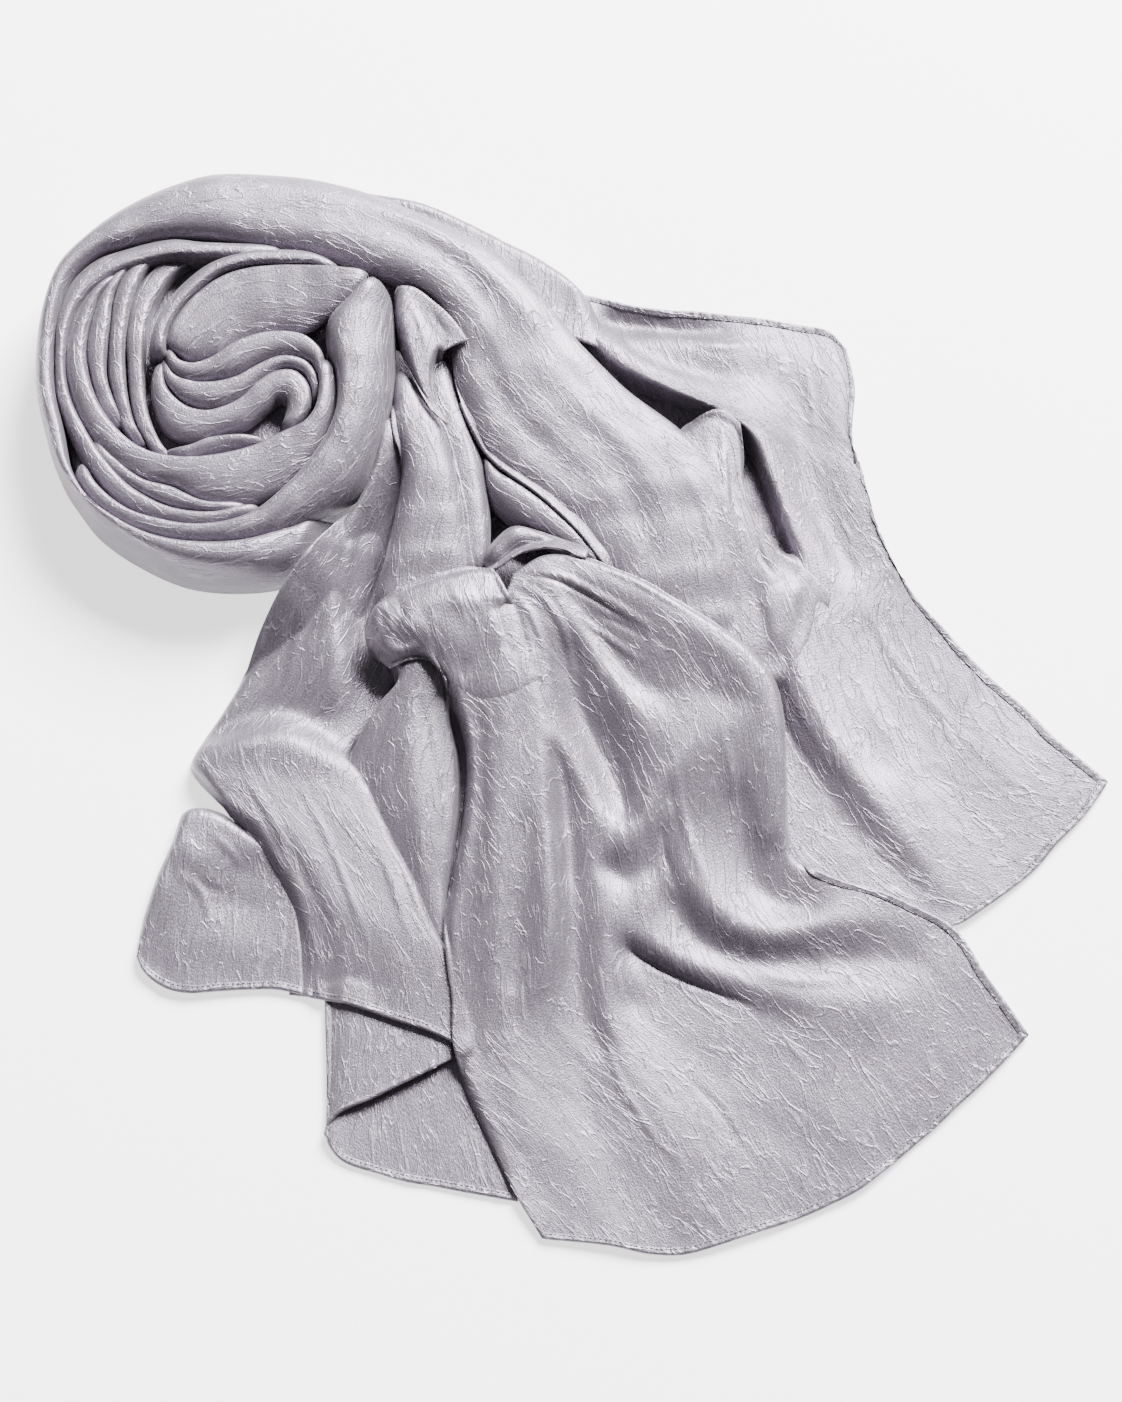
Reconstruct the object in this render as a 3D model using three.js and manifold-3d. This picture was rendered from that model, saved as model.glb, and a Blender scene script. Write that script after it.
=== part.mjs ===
// A satin hijab laid on a table: one end is wound into a rosette, a knot gathers the middle, and
// both ends fan out from it. Millimetres, +Z up, the table is z = 0. The tables below hold plan
// positions in the frame of the first fitting, and CENTRE moves them to the finished part's origin.
import * as THREE from "three";
import Module from "manifold-3d";

const wasm = await Module();
wasm.setup();

// ---- driving sizes -----------------------------------------------------------------------------
const WALL = 1.3; // the cloth's wall
const GAP = 0.4; // the air between stretches that touch
const CENTRE = [3.1, -2.4]; // the middle of the outline
const CORE_TOP = 24; // the height of the hidden layers inside the rosette
const SLAB_TOP = 5; // and under the middle, between the rosette and the right end
const CORE_INSET = 6; // how far they stay inside the outer wrap
const CORE_ROUND = 4; // the round along their upper edge
const FOOT = CORE_TOP + 2 * GAP; // where a band of the rosette stands on them
const LOW_FOOT = SLAB_TOP + 2 * GAP; // where a band of the middle stands on them
const BELLY = 0.38; // a band is widest at this share of its height
const TUCK = 0.16; // and its foot is in by this share of its reach
const NARROWEST = 2.2; // the least reach of a band to either side
const CELL = 3; // the cell of the height maps
const MAP_HALF = 336; // the height maps reach this far from the origin
const SLOPE = 0.8; // how steeply a stretch comes down off what is under it
const EDGE_CELLS = 0.48; // a panel's outermost cells are narrower than the others by this share
const SPREAD = 5; // how far from a fold below it is still fully lifted
const TIGHTENING = 60; // how many passes draw a relief tight on each size of cell
const EASING = 10; // how many passes then round its creases
const FLATNESS = 0.13; // how far a wall may stray from its section before it keeps a facet

// ---- the bands -----------------------------------------------------------------------------------
// A band is a fold that stands on edge. Each row is a section: inner x, inner y, outer x, outer y,
// the crest's share of the way from inner to outer, the crest's height, and, where they change
// along the band, the heights of its inner and outer feet. A section is round where `full` is 1, and
// squarer the smaller it is.
const BANDS = {
  rosette_wrap: {
    feet: [FOOT, 0],
    along: 23,
    rows: [
      [-118, 98, -127, 72, 0.3, 14, 4, 0],
      [-137, 90, -146, 62, 0.32, 37],
      [-165, 78, -170, 59, 0.32, 44],
      [-196, 76, -200, 62, 0.32, 45],
      [-221, 81, -229, 76, 0.35, 45],
      [-240, 91, -250, 92, 0.35, 45],
      [-252, 100, -261, 107, 0.35, 45],
      [-262, 117, -271, 123, 0.35, 45],
      [-267, 140, -278, 144, 0.4, 45],
      [-272, 162, -283, 166, 0.45, 45],
      [-273, 186, -284, 191, 0.45, 45],
      [-272, 207, -281, 214, 0.45, 46],
      [-266, 227, -273, 238, 0.45, 46],
      [-252, 241, -258, 256, 0.4, 46],
      [-236, 247, -238, 273, 0.35, 47],
      [-213, 252, -213, 286, 0.38, 48],
      [-192, 252, -192, 293, 0.42, 48],
    ],
  },
  rosette_ring_1: {
    feet: [FOOT, FOOT],
    along: 20,
    full: 0.85,
    rows: [
      [-256, 122, -261, 115, 0.5, 43],
      [-247, 108, -252, 100, 0.5, 43],
      [-231, 95, -237, 88, 0.45, 43],
      [-211, 88, -215, 79, 0.4, 43],
      [-190, 86, -193, 76, 0.4, 43],
      [-166, 92, -163, 78, 0.4, 44],
      [-145, 110, -133, 91, 0.35, 46, FOOT, 20],
      [-129, 131, -109, 107, 0.3, 48, FOOT, LOW_FOOT],
      [-121, 150, -97, 135, 0.3, 50, FOOT, LOW_FOOT],
      [-121, 170, -91, 162, 0.4, 51, FOOT, LOW_FOOT],
      [-126, 187, -90, 188, 0.5, 52, FOOT, LOW_FOOT],
      [-126, 202, -91, 211, 0.6, 52, FOOT, LOW_FOOT],
      [-116, 213, -94, 222, 0.7, 52, FOOT, 10],
      [-107, 221, -101, 229, 0.6, 51, FOOT, 20],
    ],
  },
  rosette_ring_2: {
    feet: [FOOT, FOOT],
    along: 18,
    full: 0.8,
    rows: [
      [-150, 243, -150, 249, 0.3, 40],
      [-172, 242, -172, 249, 0.3, 43],
      [-194, 241, -194, 250, 0.3, 44],
      [-210, 240, -213, 252, 0.35, 44],
      [-227, 236, -237, 246, 0.4, 44],
      [-243, 229, -253, 240, 0.4, 44],
      [-257, 217, -266, 226, 0.5, 44],
      [-265, 203, -272, 206, 0.5, 44],
      [-268, 186, -273, 186, 0.5, 44],
      [-266, 166, -272, 163, 0.5, 43],
      [-261, 152, -267, 146, 0.5, 42],
      [-254, 139, -260, 131, 0.5, 41],
      [-244, 124, -252, 117, 0.5, 41],
      [-229, 108, -236, 99, 0.5, 41],
      [-210, 97, -214, 89, 0.5, 41],
      [-186, 93, -190, 86, 0.5, 41],
      [-162, 98, -161, 93, 0.5, 41],
    ],
  },
  rosette_ring_3: {
    feet: [FOOT, FOOT],
    along: 12,
    full: 0.7,
    rows: [
      [-250, 137, -254, 134, 0.5, 38],
      [-242, 127, -246, 121, 0.5, 40],
      [-224, 112, -230, 108, 0.5, 41],
      [-208, 108, -211, 98, 0.45, 41],
      [-190, 99, -193, 94, 0.45, 41],
      [-168, 99, -167, 94, 0.5, 39],
    ],
  },
  rosette_ring_4: {
    feet: [FOOT, FOOT],
    along: 21,
    full: 0.8,
    rows: [
      [-240, 231, -246, 229, 0.5, 43],
      [-250, 217, -259, 214, 0.5, 44],
      [-254, 203, -265, 203, 0.5, 44],
      [-256, 186, -268, 186, 0.5, 44],
      [-253, 168, -266, 167, 0.5, 44],
      [-246, 152, -259, 147, 0.45, 43],
      [-234, 137, -246, 128, 0.35, 43],
      [-221, 128, -226, 113, 0.25, 43],
      [-203, 124, -207, 108, 0.2, 43],
      [-184, 126, -188, 99, 0.18, 43],
      [-165, 131, -162, 100, 0.16, 43],
      [-148, 139, -141, 114, 0.16, 44],
      [-137, 144, -128, 132, 0.25, 45],
      [-131, 152, -122, 149, 0.3, 46],
      [-129, 165, -121, 167, 0.3, 46],
      [-131, 178, -124, 182, 0.4, 46],
    ],
  },
  rosette_strip_1: {
    feet: [FOOT, FOOT],
    along: 9,
    full: 0.6,
    rows: [
      [-230, 242, -236, 241, 0.5, 37],
      [-236, 233, -243, 231, 0.5, 41],
      [-243, 220, -250, 217, 0.5, 42],
      [-244, 204, -254, 202, 0.5, 43],
      [-245, 188, -256, 186, 0.5, 43],
      [-245, 172, -253, 169, 0.5, 42],
      [-240, 157, -248, 154, 0.5, 40],
      [-234, 145, -240, 141, 0.5, 37],
    ],
  },
  rosette_strip_2: {
    feet: [FOOT, FOOT],
    along: 10,
    full: 0.6,
    rows: [
      [-219, 242, -227, 244, 0.5, 37],
      [-226, 233, -235, 235, 0.5, 41],
      [-232, 220, -241, 220, 0.5, 42],
      [-235, 205, -243, 204, 0.5, 42],
      [-236, 190, -244, 189, 0.5, 42],
      [-235, 173, -244, 173, 0.5, 41],
      [-233, 157, -240, 157, 0.5, 40],
      [-228, 143, -237, 146, 0.5, 38],
      [-222, 133, -230, 134, 0.5, 35],
    ],
  },
  rosette_strip_3: {
    feet: [FOOT, FOOT],
    along: 10,
    full: 0.6,
    rows: [
      [-200, 241, -210, 245, 0.6, 33],
      [-210, 233, -222, 236, 0.6, 37],
      [-220, 217, -231, 221, 0.6, 38],
      [-224, 205, -234, 205, 0.55, 39],
      [-225, 192, -235, 192, 0.55, 40],
      [-225, 177, -234, 178, 0.55, 39],
      [-224, 160, -232, 161, 0.55, 38],
      [-220, 145, -228, 145, 0.55, 37],
      [-214, 133, -221, 133, 0.55, 35],
      [-206, 124, -213, 123, 0.55, 32],
    ],
  },
  rosette_ring_5: {
    feet: [FOOT, FOOT],
    along: 14,
    full: 0.75,
    rows: [
      [-122, 231, -117, 232, 0.5, 47],
      [-134, 234, -136, 242, 0.45, 48],
      [-151, 234, -153, 244, 0.45, 48],
      [-168, 234, -172, 242, 0.45, 48],
      [-184, 229, -190, 236, 0.45, 48],
      [-197, 218, -205, 224, 0.45, 48],
      [-207, 205, -216, 209, 0.45, 48],
      [-213, 192, -221, 194, 0.45, 48],
      [-213, 181, -222, 179, 0.45, 47],
    ],
  },
  rosette_petal: {
    feet: [30, 30],
    along: 12,
    full: 0.8,
    rows: [
      [-214, 188, -209, 184, 0.4, 45],
      [-208, 203, -199, 180, 0.2, 46],
      [-196, 219, -186, 183, 0.15, 46],
      [-180, 230, -172, 191, 0.13, 46],
      [-160, 234, -154, 196, 0.12, 47],
      [-142, 234, -138, 197, 0.13, 48],
      [-125, 232, -123, 206, 0.15, 50, 30, 34],
      [-113, 230, -114, 213, 0.2, 51, 32, 40],
      [-104, 229, -108, 220, 0.4, 51, 36, 44],
    ],
  },
  rosette_s_1: {
    feet: [FOOT, FOOT],
    along: 16,
    full: 0.72,
    rows: [
      [-212, 187, -214, 184, 0.5, 44],
      [-207, 180, -211, 175, 0.45, 44],
      [-199, 177, -202, 168, 0.3, 44],
      [-189, 180, -190, 168, 0.25, 44],
      [-175, 190, -175, 171, 0.22, 45],
      [-162, 195, -163, 178, 0.22, 45],
      [-150, 196, -150, 182, 0.25, 45],
      [-139, 194, -140, 181, 0.28, 45],
      [-130, 186, -134, 177, 0.35, 45],
      [-126, 173, -131, 168, 0.5, 44],
    ],
  },
  rosette_s_2: {
    feet: [FOOT, FOOT],
    along: 16,
    full: 0.72,
    rows: [
      [-214, 182, -217, 178, 0.5, 42],
      [-209, 172, -212, 166, 0.4, 42],
      [-199, 168, -202, 156, 0.3, 42],
      [-186, 168, -187, 153, 0.28, 42],
      [-174, 171, -175, 157, 0.28, 42],
      [-162, 178, -162, 168, 0.35, 42],
      [-150, 182, -149, 176, 0.4, 42],
      [-138, 179, -139, 173, 0.4, 42],
      [-131, 169, -134, 163, 0.5, 42],
      [-130, 159, -134, 155, 0.5, 41],
    ],
  },
  rosette_curl: {
    feet: [FOOT, FOOT],
    along: 20,
    full: 0.75,
    rows: [
      [-214, 180, -221, 178, 0.5, 43],
      [-212, 166, -220, 158, 0.5, 42],
      [-203, 156, -213, 141, 0.3, 41],
      [-191, 152, -199, 134, 0.22, 41],
      [-181, 154, -183, 139, 0.25, 41],
      [-171, 160, -169, 144, 0.28, 41],
      [-163, 168, -159, 152, 0.25, 42],
      [-154, 174, -153, 158, 0.3, 42],
      [-144, 175, -149, 158, 0.35, 42],
      [-136, 168, -148, 155, 0.4, 42],
      [-134, 158, -148, 151, 0.45, 42],
      [-138, 148, -149, 147, 0.45, 42],
      [-146, 139, -151, 143, 0.5, 41],
    ],
  },
  rosette_lens: {
    feet: [FOOT, FOOT],
    along: 8,
    rows: [
      [-213, 130, -210, 126, 0.5, 36],
      [-201, 132, -199, 125, 0.4, 38],
      [-188, 137, -187, 127, 0.35, 39],
      [-174, 138, -174, 130, 0.35, 40],
      [-160, 137, -159, 133, 0.5, 39],
    ],
  },
  ribbon_2: {
    feet: [LOW_FOOT, LOW_FOOT],
    along: 9,
    full: 0.8,
    rows: [
      [-82, 186, -61, 189, 0.62, 27],
      [-80, 168, -56, 171, 0.62, 29],
      [-74, 148, -49, 150, 0.62, 30],
      [-68, 126, -42, 128, 0.62, 29],
      [-62, 106, -39, 108, 0.62, 28],
      [-58, 88, -38, 90, 0.62, 27],
      [-56, 64, -40, 64, 0.6, 25],
    ],
  },
  ribbon_1: {
    feet: [LOW_FOOT, LOW_FOOT],
    along: 11,
    full: 0.7,
    over: ["under_tail", "ribbon_2"],
    rows: [
      [-89, 181, -84, 179, 0.5, 31],
      [-91, 160, -73, 160, 0.45, 35],
      [-91, 144, -62, 145, 0.4, 37],
      [-86, 122, -55, 121, 0.4, 36],
      [-89, 98, -50, 98, 0.4, 34],
      [-94, 74, -48, 78, 0.4, 32],
      [-98, 55, -45, 60, 0.4, 29],
      [-98, 34, -46, 40, 0.4, 26],
    ],
  },
  under_roll: {
    feet: [LOW_FOOT, LOW_FOOT],
    along: 9,
    over: ["second_fold"],
    rows: [
      [-42, 134, -41, 124, 0.4, 26],
      [-35, 126, -38, 106, 0.35, 28],
      [-23, 119, -29, 96, 0.35, 28],
      [-8, 107, -15, 87, 0.35, 28],
      [6, 94, 0, 77, 0.35, 26],
      [18, 80, 14, 69, 0.4, 24],
      [28, 66, 25, 60, 0.5, 20],
    ],
  },
  main_band: {
    feet: [LOW_FOOT, LOW_FOOT],
    along: 22,
    full: 0.72,
    over: ["right_end", "second_fold", "behind", "ribbon_2", "under_roll"],
    rows: [
      [-192, 252, -192, 293, 0.42, 48, FOOT, 0],
      [-165, 248, -163, 294, 0.42, 47, FOOT, 0],
      [-137, 244, -133, 290, 0.42, 46, FOOT, 8],
      [-112, 235, -103, 281, 0.42, 45, 20, 14],
      [-88, 227, -72, 267, 0.45, 44, 20, 18],
      [-70, 216, -40, 249, 0.45, 43, 20, 20],
      [-60, 196, -13, 224, 0.5, 40, 18, 20],
      [-58, 172, 12, 193, 0.5, 37, 14, 18],
      [-50, 148, 38, 167, 0.5, 34, 12, 14],
      [-37, 127, 66, 145, 0.52, 32, 12, 12],
      [-12, 107, 85, 122, 0.55, 30, 14, 10],
      [8, 88, 92, 98, 0.55, 27, 12, 8],
      [28, 62, 95, 72, 0.55, 25, 10, 8],
      [46, 42, 97, 46, 0.5, 21, 6, 6],
      [56, 24, 99, 20, 0.5, 15, 4, 4],
    ],
  },
  small_petal: {
    feet: [LOW_FOOT, LOW_FOOT],
    along: 8,
    over: ["under_roll", "front_end"],
    rows: [
      [-43, 71, -37, 62, 0.5, 27],
      [-37, 82, -29, 68, 0.45, 31],
      [-26, 91, -20, 73, 0.4, 33],
      [-13, 88, -9, 74, 0.4, 31],
      [2, 81, 2, 72, 0.45, 28],
      [15, 74, 13, 66, 0.5, 25],
    ],
  },
};

// ---- the panels ----------------------------------------------------------------------------------
// A panel is a sheet inside four outline curves, which lies on the table and on the stretches named
// in `over`. Its relief is a few lines of x, y, height that the cloth passes through, and between
// them it is drawn tight. `turned` gives the part of a side that is a folded edge.
const PANELS = {
  right_end: {
    across: 12,
    down: 16,
    over: [],
    top: [[-8, 228], [11, 229], [50, 222], [93, 218], [130, 213], [147, 209], [156, 199]],
    right: [[156, 199], [160, 175], [158, 146], [164, 120], [172, 91], [190, 58], [209, 35],
        [228, 13], [247, -5], [268, -27], [290, -46]],
    bottom: [[195, -120], [205, -125], [224, -114], [246, -97], [262, -80], [278, -63], [290, -46]],
    left: [[-8, 228], [8, 205], [25, 186], [50, 173], [80, 161], [98, 148], [108, 124], [117, 98],
        [124, 78], [118, 60], [102, 46], [96, 16], [98, -30], [108, -74], [140, -108],
        [195, -120]],
    turned: { left: [0, 0.45] },
    round: 7,
    relief: [
      [[-4, 226, 17], [15, 205, 20], [32, 193, 22], [52, 182, 22], [75, 171, 21], [92, 162, 21],
          [106, 148, 20], [115, 126, 18], [122, 104, 16], [131, 88, 13], [140, 74, 11],
          [146, 56, 9], [151, 38, 7.5], [158, 20, 6]],
      [[12, 227, 12], [40, 222, 12], [80, 215, 11], [110, 212, 10], [140, 207, 9], [152, 199, 9]],
      [[24, 215, 5], [45, 212, 5], [70, 209, 6], [88, 208, 8]],
      [[38, 196, 15], [55, 187, 14], [78, 181, 13], [100, 179, 12.5], [118, 182, 12]],
      [[45, 205, 13], [70, 200, 15], [95, 197, 15], [118, 196, 13]],
      [[146, 196, 11], [150, 175, 12], [150, 155, 12], [152, 135, 10], [160, 110, 8], [170, 82, 5],
          [184, 58, 3], [204, 32, 2.5]],
      [[122, 178, 10], [127, 160, 9], [130, 140, 8], [136, 118, 7], [146, 92, 5], [156, 70, 4]],
      [[104, 84, 18], [110, 64, 17], [116, 42, 16], [122, 20, 15], [132, -6, 14], [145, -30, 13],
          [159, -50, 11], [175, -72, 8.5], [190, -92, 6], [203, -110, 3]],
      [[122, 78, 14], [129, 62, 13], [134, 40, 11.5], [142, 12, 9], [156, -16, 7], [172, -42, 5]],
      [[103, 46, 3], [106, 18, 3], [114, -8, 3], [127, -33, 3], [142, -54, 3], [157, -73, 3],
          [173, -92, 2.5], [188, -108, 2]],
      [[164, 40, 3.5], [174, 0, 3.5], [194, -35, 3.5], [218, -70, 2.5], [236, -96, 1.5]],
      [[222, -10, 2.5], [240, -45, 3], [258, -66, 1.5]],
      [[228, 13, 1.5], [247, -5, 0.5], [268, -27, 1.5], [290, -46, 0.5]],
      [[195, -120, 1], [224, -114, 2], [246, -97, 0.5], [262, -80, 1.5], [290, -46, 0.5]],
    ],
  },
  second_fold: {
    across: 6,
    down: 8,
    over: ["right_end"],
    top: [[58, 142], [66, 150], [76, 156], [87, 158], [97, 150]],
    right: [[97, 150], [99, 134], [98, 116], [103, 101], [114, 89], [128, 80]],
    bottom: [[84, 20], [96, 22], [108, 32], [120, 52], [128, 80]],
    left: [[58, 142], [70, 124], [78, 100], [82, 64], [84, 20]],
    turned: { top: [0, 1], right: [0, 0.8] },
    round: 6,
    relief: [
      [[66, 144, 20], [78, 150, 22], [90, 146, 22], [93, 128, 21], [92, 112, 20.5], [98, 98, 19.5],
          [108, 87, 18], [120, 80, 15.5]],
      [[78, 128, 24], [86, 104, 24], [93, 82, 22], [99, 60, 18], [104, 40, 15], [106, 30, 14]],
      [[110, 72, 17], [114, 58, 16], [116, 44, 15]],
    ],
  },
  behind: {
    across: 12,
    down: 4,
    over: ["right_end", "second_fold"],
    top: [[-152, 292], [-133, 292], [-100, 286], [-67, 278], [-33, 261], [0, 242], [20, 220]],
    right: [[20, 220], [28, 205], [34, 190]],
    bottom: [[-152, 276], [-110, 268], [-72, 255], [-40, 232], [-5, 205], [34, 190]],
    left: [[-152, 292], [-152, 276]],
    turned: { top: [0, 0.9] },
    round: 8,
    relief: [
      [[-152, 284, 30], [-100, 277, 30], [-60, 265, 28], [-25, 240, 26], [5, 216, 23], [28, 198, 22]],
    ],
  },
  left_flap: {
    across: 9,
    down: 9,
    over: [],
    top: [[-200, -64], [-192, -61], [-180, -64], [-166, -74], [-152, -84]],
    right: [[-152, -84], [-143, -105], [-137, -130], [-135, -150], [-134, -162]],
    bottom: [[-222, -142], [-218, -150], [-208, -158], [-195, -161], [-180, -160], [-165, -159],
        [-150, -159], [-134, -162]],
    left: [[-200, -64], [-205, -80], [-212, -97], [-217, -115], [-220, -130], [-222, -142]],
    turned: { top: [0, 1], left: [0, 0.85] },
    round: 6,
    relief: [
      [[-197, -70, 10], [-186, -68, 10], [-172, -76, 9], [-160, -86, 8]],
      [[-203, -84, 8.5], [-190, -88, 8], [-172, -94, 6.5], [-154, -98, 5]],
      [[-210, -104, 6.5], [-216, -124, 4]],
      [[-198, -106, 4], [-176, -114, 3], [-152, -118, 2.5]],
      [[-206, -128, 4], [-188, -134, 4], [-168, -136, 3], [-142, -138, 2]],
      [[-220, -142, 2], [-208, -152, 1.5], [-190, -156, 2.5], [-165, -155, 1], [-136, -158, 1]],
    ],
  },
  under_tail: {
    across: 9,
    down: 21,
    over: ["rosette_wrap", "left_flap", "hem_fold"],
    top: [[-99, 146], [-92, 150], [-84, 148]],
    right: [[-84, 148], [-80, 120], [-82, 95], [-86, 60], [-84, 24], [-88, 6], [-98, -12],
        [-112, -33], [-103, -47], [-94, -65], [-85, -85], [-75, -105], [-67, -125], [-60, -142],
        [-56, -165], [-55, -190]],
    bottom: [[-142, -161], [-135, -162], [-120, -166], [-100, -172], [-80, -179], [-68, -183],
        [-55, -190]],
    left: [[-99, 146], [-103, 124], [-110, 106], [-120, 92], [-131, 78], [-142, 63], [-150, 51],
        [-160, 33], [-170, 10], [-180, -8], [-191, -26], [-196, -38], [-190, -48], [-182, -58],
        [-172, -70], [-163, -84], [-155, -97], [-148, -112], [-143, -128], [-141, -145],
        [-142, -161]],
    turned: { left: [0, 0.86], right: [0.42, 0.94] },
    round: 6,
    relief: [
      [[-92, 144, 34], [-98, 124, 32], [-105, 106, 30], [-114, 88, 27], [-120, 68, 23.5],
          [-122, 50, 20.5], [-121, 32, 18], [-119, 14, 15], [-120, -4, 11]],
      [[-88, 126, 25], [-94, 108, 17], [-101, 90, 10], [-108, 72, 6], [-109, 52, 4], [-106, 32, 4],
          [-104, 14, 4.5], [-107, -4, 5], [-113, -20, 5]],
      [[-86, 100, 12], [-88, 70, 6], [-88, 40, 5], [-92, 10, 5], [-102, -12, 5]],
      [[-112, 103, 26], [-122, 89, 22.5], [-135, 71, 17], [-147, 48, 12], [-158, 24, 9],
          [-170, 0, 7.5], [-182, -18, 5]],
      [[-136, 46, 15], [-143, 22, 12], [-150, 0, 8]],
      [[-186, -23, 4], [-172, -15, 4.5], [-158, -10, 5], [-146, -9, 5.5], [-134, -13, 6],
          [-124, -21, 6.5], [-115, -30, 6.5]],
      [[-191, -38, 14], [-178, -32, 17], [-163, -27, 18.5], [-148, -26, 19], [-136, -30, 18.5],
          [-126, -36, 17.5], [-117, -41, 16]],
      [[-184, -48, 15], [-174, -60, 14], [-164, -74, 13], [-155, -90, 11], [-148, -105, 8.5],
          [-142, -122, 5.5], [-138, -140, 3], [-137, -158, 1.5]],
      [[-152, -50, 16], [-140, -75, 14.5], [-126, -101, 12.5], [-112, -130, 9.5], [-99, -160, 5.5]],
      [[-124, -60, 14.5], [-111, -84, 13], [-98, -111, 12], [-87, -139, 10], [-77, -170, 7.5]],
      [[-110, -50, 14], [-100, -68, 13.5], [-91, -87, 13], [-81, -108, 12.5], [-72, -128, 11.5],
          [-65, -148, 10.5], [-61, -170, 9], [-59, -184, 9]],
      [[-140, -160, 1.5], [-120, -165, 2.5], [-100, -171, 5], [-80, -178, 7.5], [-60, -188, 9]],
    ],
  },
  leaf: {
    across: 6,
    down: 9,
    over: [],
    top: [[-90, 14], [-84, 20], [-74, 20], [-66, 14], [-61, 2]],
    right: [[-61, 2], [-59, -15], [-54, -35], [-53, -60], [-57, -90], [-63, -118], [-66, -134]],
    bottom: [[-76, -134], [-71, -136], [-66, -134]],
    left: [[-90, 14], [-88, 2], [-99, -10], [-109, -26], [-116, -44], [-110, -66], [-98, -90],
        [-86, -112], [-76, -134]],
    turned: { left: [0, 0.3], right: [0, 1] },
    round: 5,
    relief: [
      [[-76, 16, 25], [-80, 0, 22], [-81, -25, 20], [-76, -52, 18], [-72, -82, 15], [-70, -112, 11]],
      [[-90, 4, 21], [-99, -12, 18], [-105, -26, 14], [-108, -42, 9.5], [-103, -62, 8],
          [-92, -90, 7]],
      [[-86, -6, 18], [-93, -20, 16], [-98, -36, 14], [-98, -52, 13], [-93, -72, 11.5]],
      [[-66, 6, 21], [-62, -14, 16], [-58, -40, 13], [-60, -75, 11], [-65, -110, 9]],
    ],
  },
  front_end: {
    across: 19,
    down: 21,
    over: ["main_band", "right_end", "second_fold", "under_roll", "under_tail", "leaf", "hem_fold"],
    top: [[-60, 4], [-48, 18], [-36, 36], [-28, 52], [-24, 64]],
    right: [[-24, 64], [-8, 74], [10, 73], [27, 67], [45, 59], [60, 50], [80, 38], [100, 23],
        [113, 6], [118, -15], [119, -45], [120, -78], [126, -92], [145, -103], [165, -108], [185, -116],
        [205, -127], [220, -150], [232, -167], [243, -184]],
    bottom: [[-10, -290], [5, -292], [25, -294], [45, -298], [65, -298], [95, -289], [125, -279],
        [155, -264], [185, -240], [215, -212], [243, -184]],
    left: [[-60, 4], [-56, -12], [-51, -30], [-50, -50], [-52, -75], [-57, -100], [-61, -125],
        [-60, -145], [-57, -165], [-56, -190], [-50, -210], [-42, -228], [-33, -248], [-24, -267],
        [-10, -290]],
    turned: { left: [0, 0.85], right: [0, 0.60] },
    round: 6,
    relief: [
      [[-34, 36, 36], [-33, 10, 33], [-32, -20, 30], [-33, -60, 27], [-34, -100, 23], [-34, -140, 17],
          [-30, -175, 11], [-22, -215, 7], [-10, -258, 3], [-4, -285, 1.5]],
      [[-45, -16, 25], [-42, -50, 23], [-45, -85, 20], [-50, -115, 16], [-51, -145, 12],
          [-49, -175, 9], [-42, -210, 6], [-26, -255, 3]],
      [[-20, -76, 23], [-20, -108, 19], [-21, -138, 14], [-26, -162, 10]],
      [[-16, 14, 32], [-10, -18, 30], [-7, -48, 28], [-6, -80, 26], [-5, -110, 24], [-6, -138, 20],
          [-11, -157, 15], [-22, -174, 10]],
      [[-3, -36, 19], [1, -60, 14], [3, -90, 11], [5, -118, 10], [7, -148, 6], [13, -175, 4],
          [23, -193, 3]],
      [[-10, 58, 36], [4, 42, 33.5], [14, 27, 31], [25, 10, 28], [35, -8, 26], [45, -25, 23],
          [49, -38, 21]],
      [[3, 49, 31], [12, 35, 27], [22, 21, 23.5], [32, 9, 21.5], [43, 0, 21], [56, -6, 21]],
      [[2, 20, 23], [6, 0, 16.5], [14, -20, 12], [24, -38, 9], [31, -55, 8.5], [34, -68, 9.5]],
      [[-7, -26, 29], [4, -40, 24.5], [14, -57, 20.5], [24, -75, 18], [33, -87, 16.5]],
      [[33, -87, 16.5], [42, -70, 19.5], [50, -52, 22], [62, -39, 24], [76, -29, 25], [92, -18, 26],
          [104, -10, 26.5]],
      [[22, -95, 10], [36, -103, 8.5], [50, -92, 9.5], [60, -74, 13]],
      [[8, 62, 35], [34, 51, 34], [60, 38, 33], [82, 23, 32], [98, 7, 30], [106, -12, 28],
          [108, -35, 25], [109, -60, 21], [110, -80, 17]],
      [[60, 6, 24.5], [76, -2, 24], [90, -8, 24.5]],
      [[58, -60, 18], [62, -85, 16], [70, -106, 15.5], [82, -121, 15.5], [96, -130, 15],
          [112, -132, 14], [130, -128, 13.5], [150, -125, 12], [172, -124, 9], [190, -128, 6]],
      [[92, -60, 15], [97, -85, 10], [103, -105, 7], [114, -115, 7], [130, -117, 8]],
      [[118, -86, 12], [130, -99, 12], [148, -107, 11.5], [168, -113, 10], [188, -121, 7],
          [202, -129, 4]],
      [[58, -114, 6.5], [72, -133, 5], [98, -145, 5], [130, -145, 5], [160, -143, 5],
          [186, -145, 4]],
      [[34, -131, 10], [45, -138, 10.5], [60, -146, 10.5], [75, -152, 9.5], [90, -157, 8.5],
          [108, -162, 8], [135, -166, 8], [165, -166, 7], [188, -162, 5]],
      [[35, -137, 1.8], [46, -145, 2], [60, -153, 2.2], [76, -160, 2.6], [94, -168, 3.2],
          [116, -177, 4]],
      [[10, -62, 18], [16, -84, 17], [20, -105, 15.5], [22, -122, 14], [24, -140, 12],
          [23, -160, 10], [25, -180, 8], [34, -202, 6], [50, -226, 5], [74, -250, 4],
          [98, -270, 2.5]],
      [[40, -100, 12], [46, -118, 11]],
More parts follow.
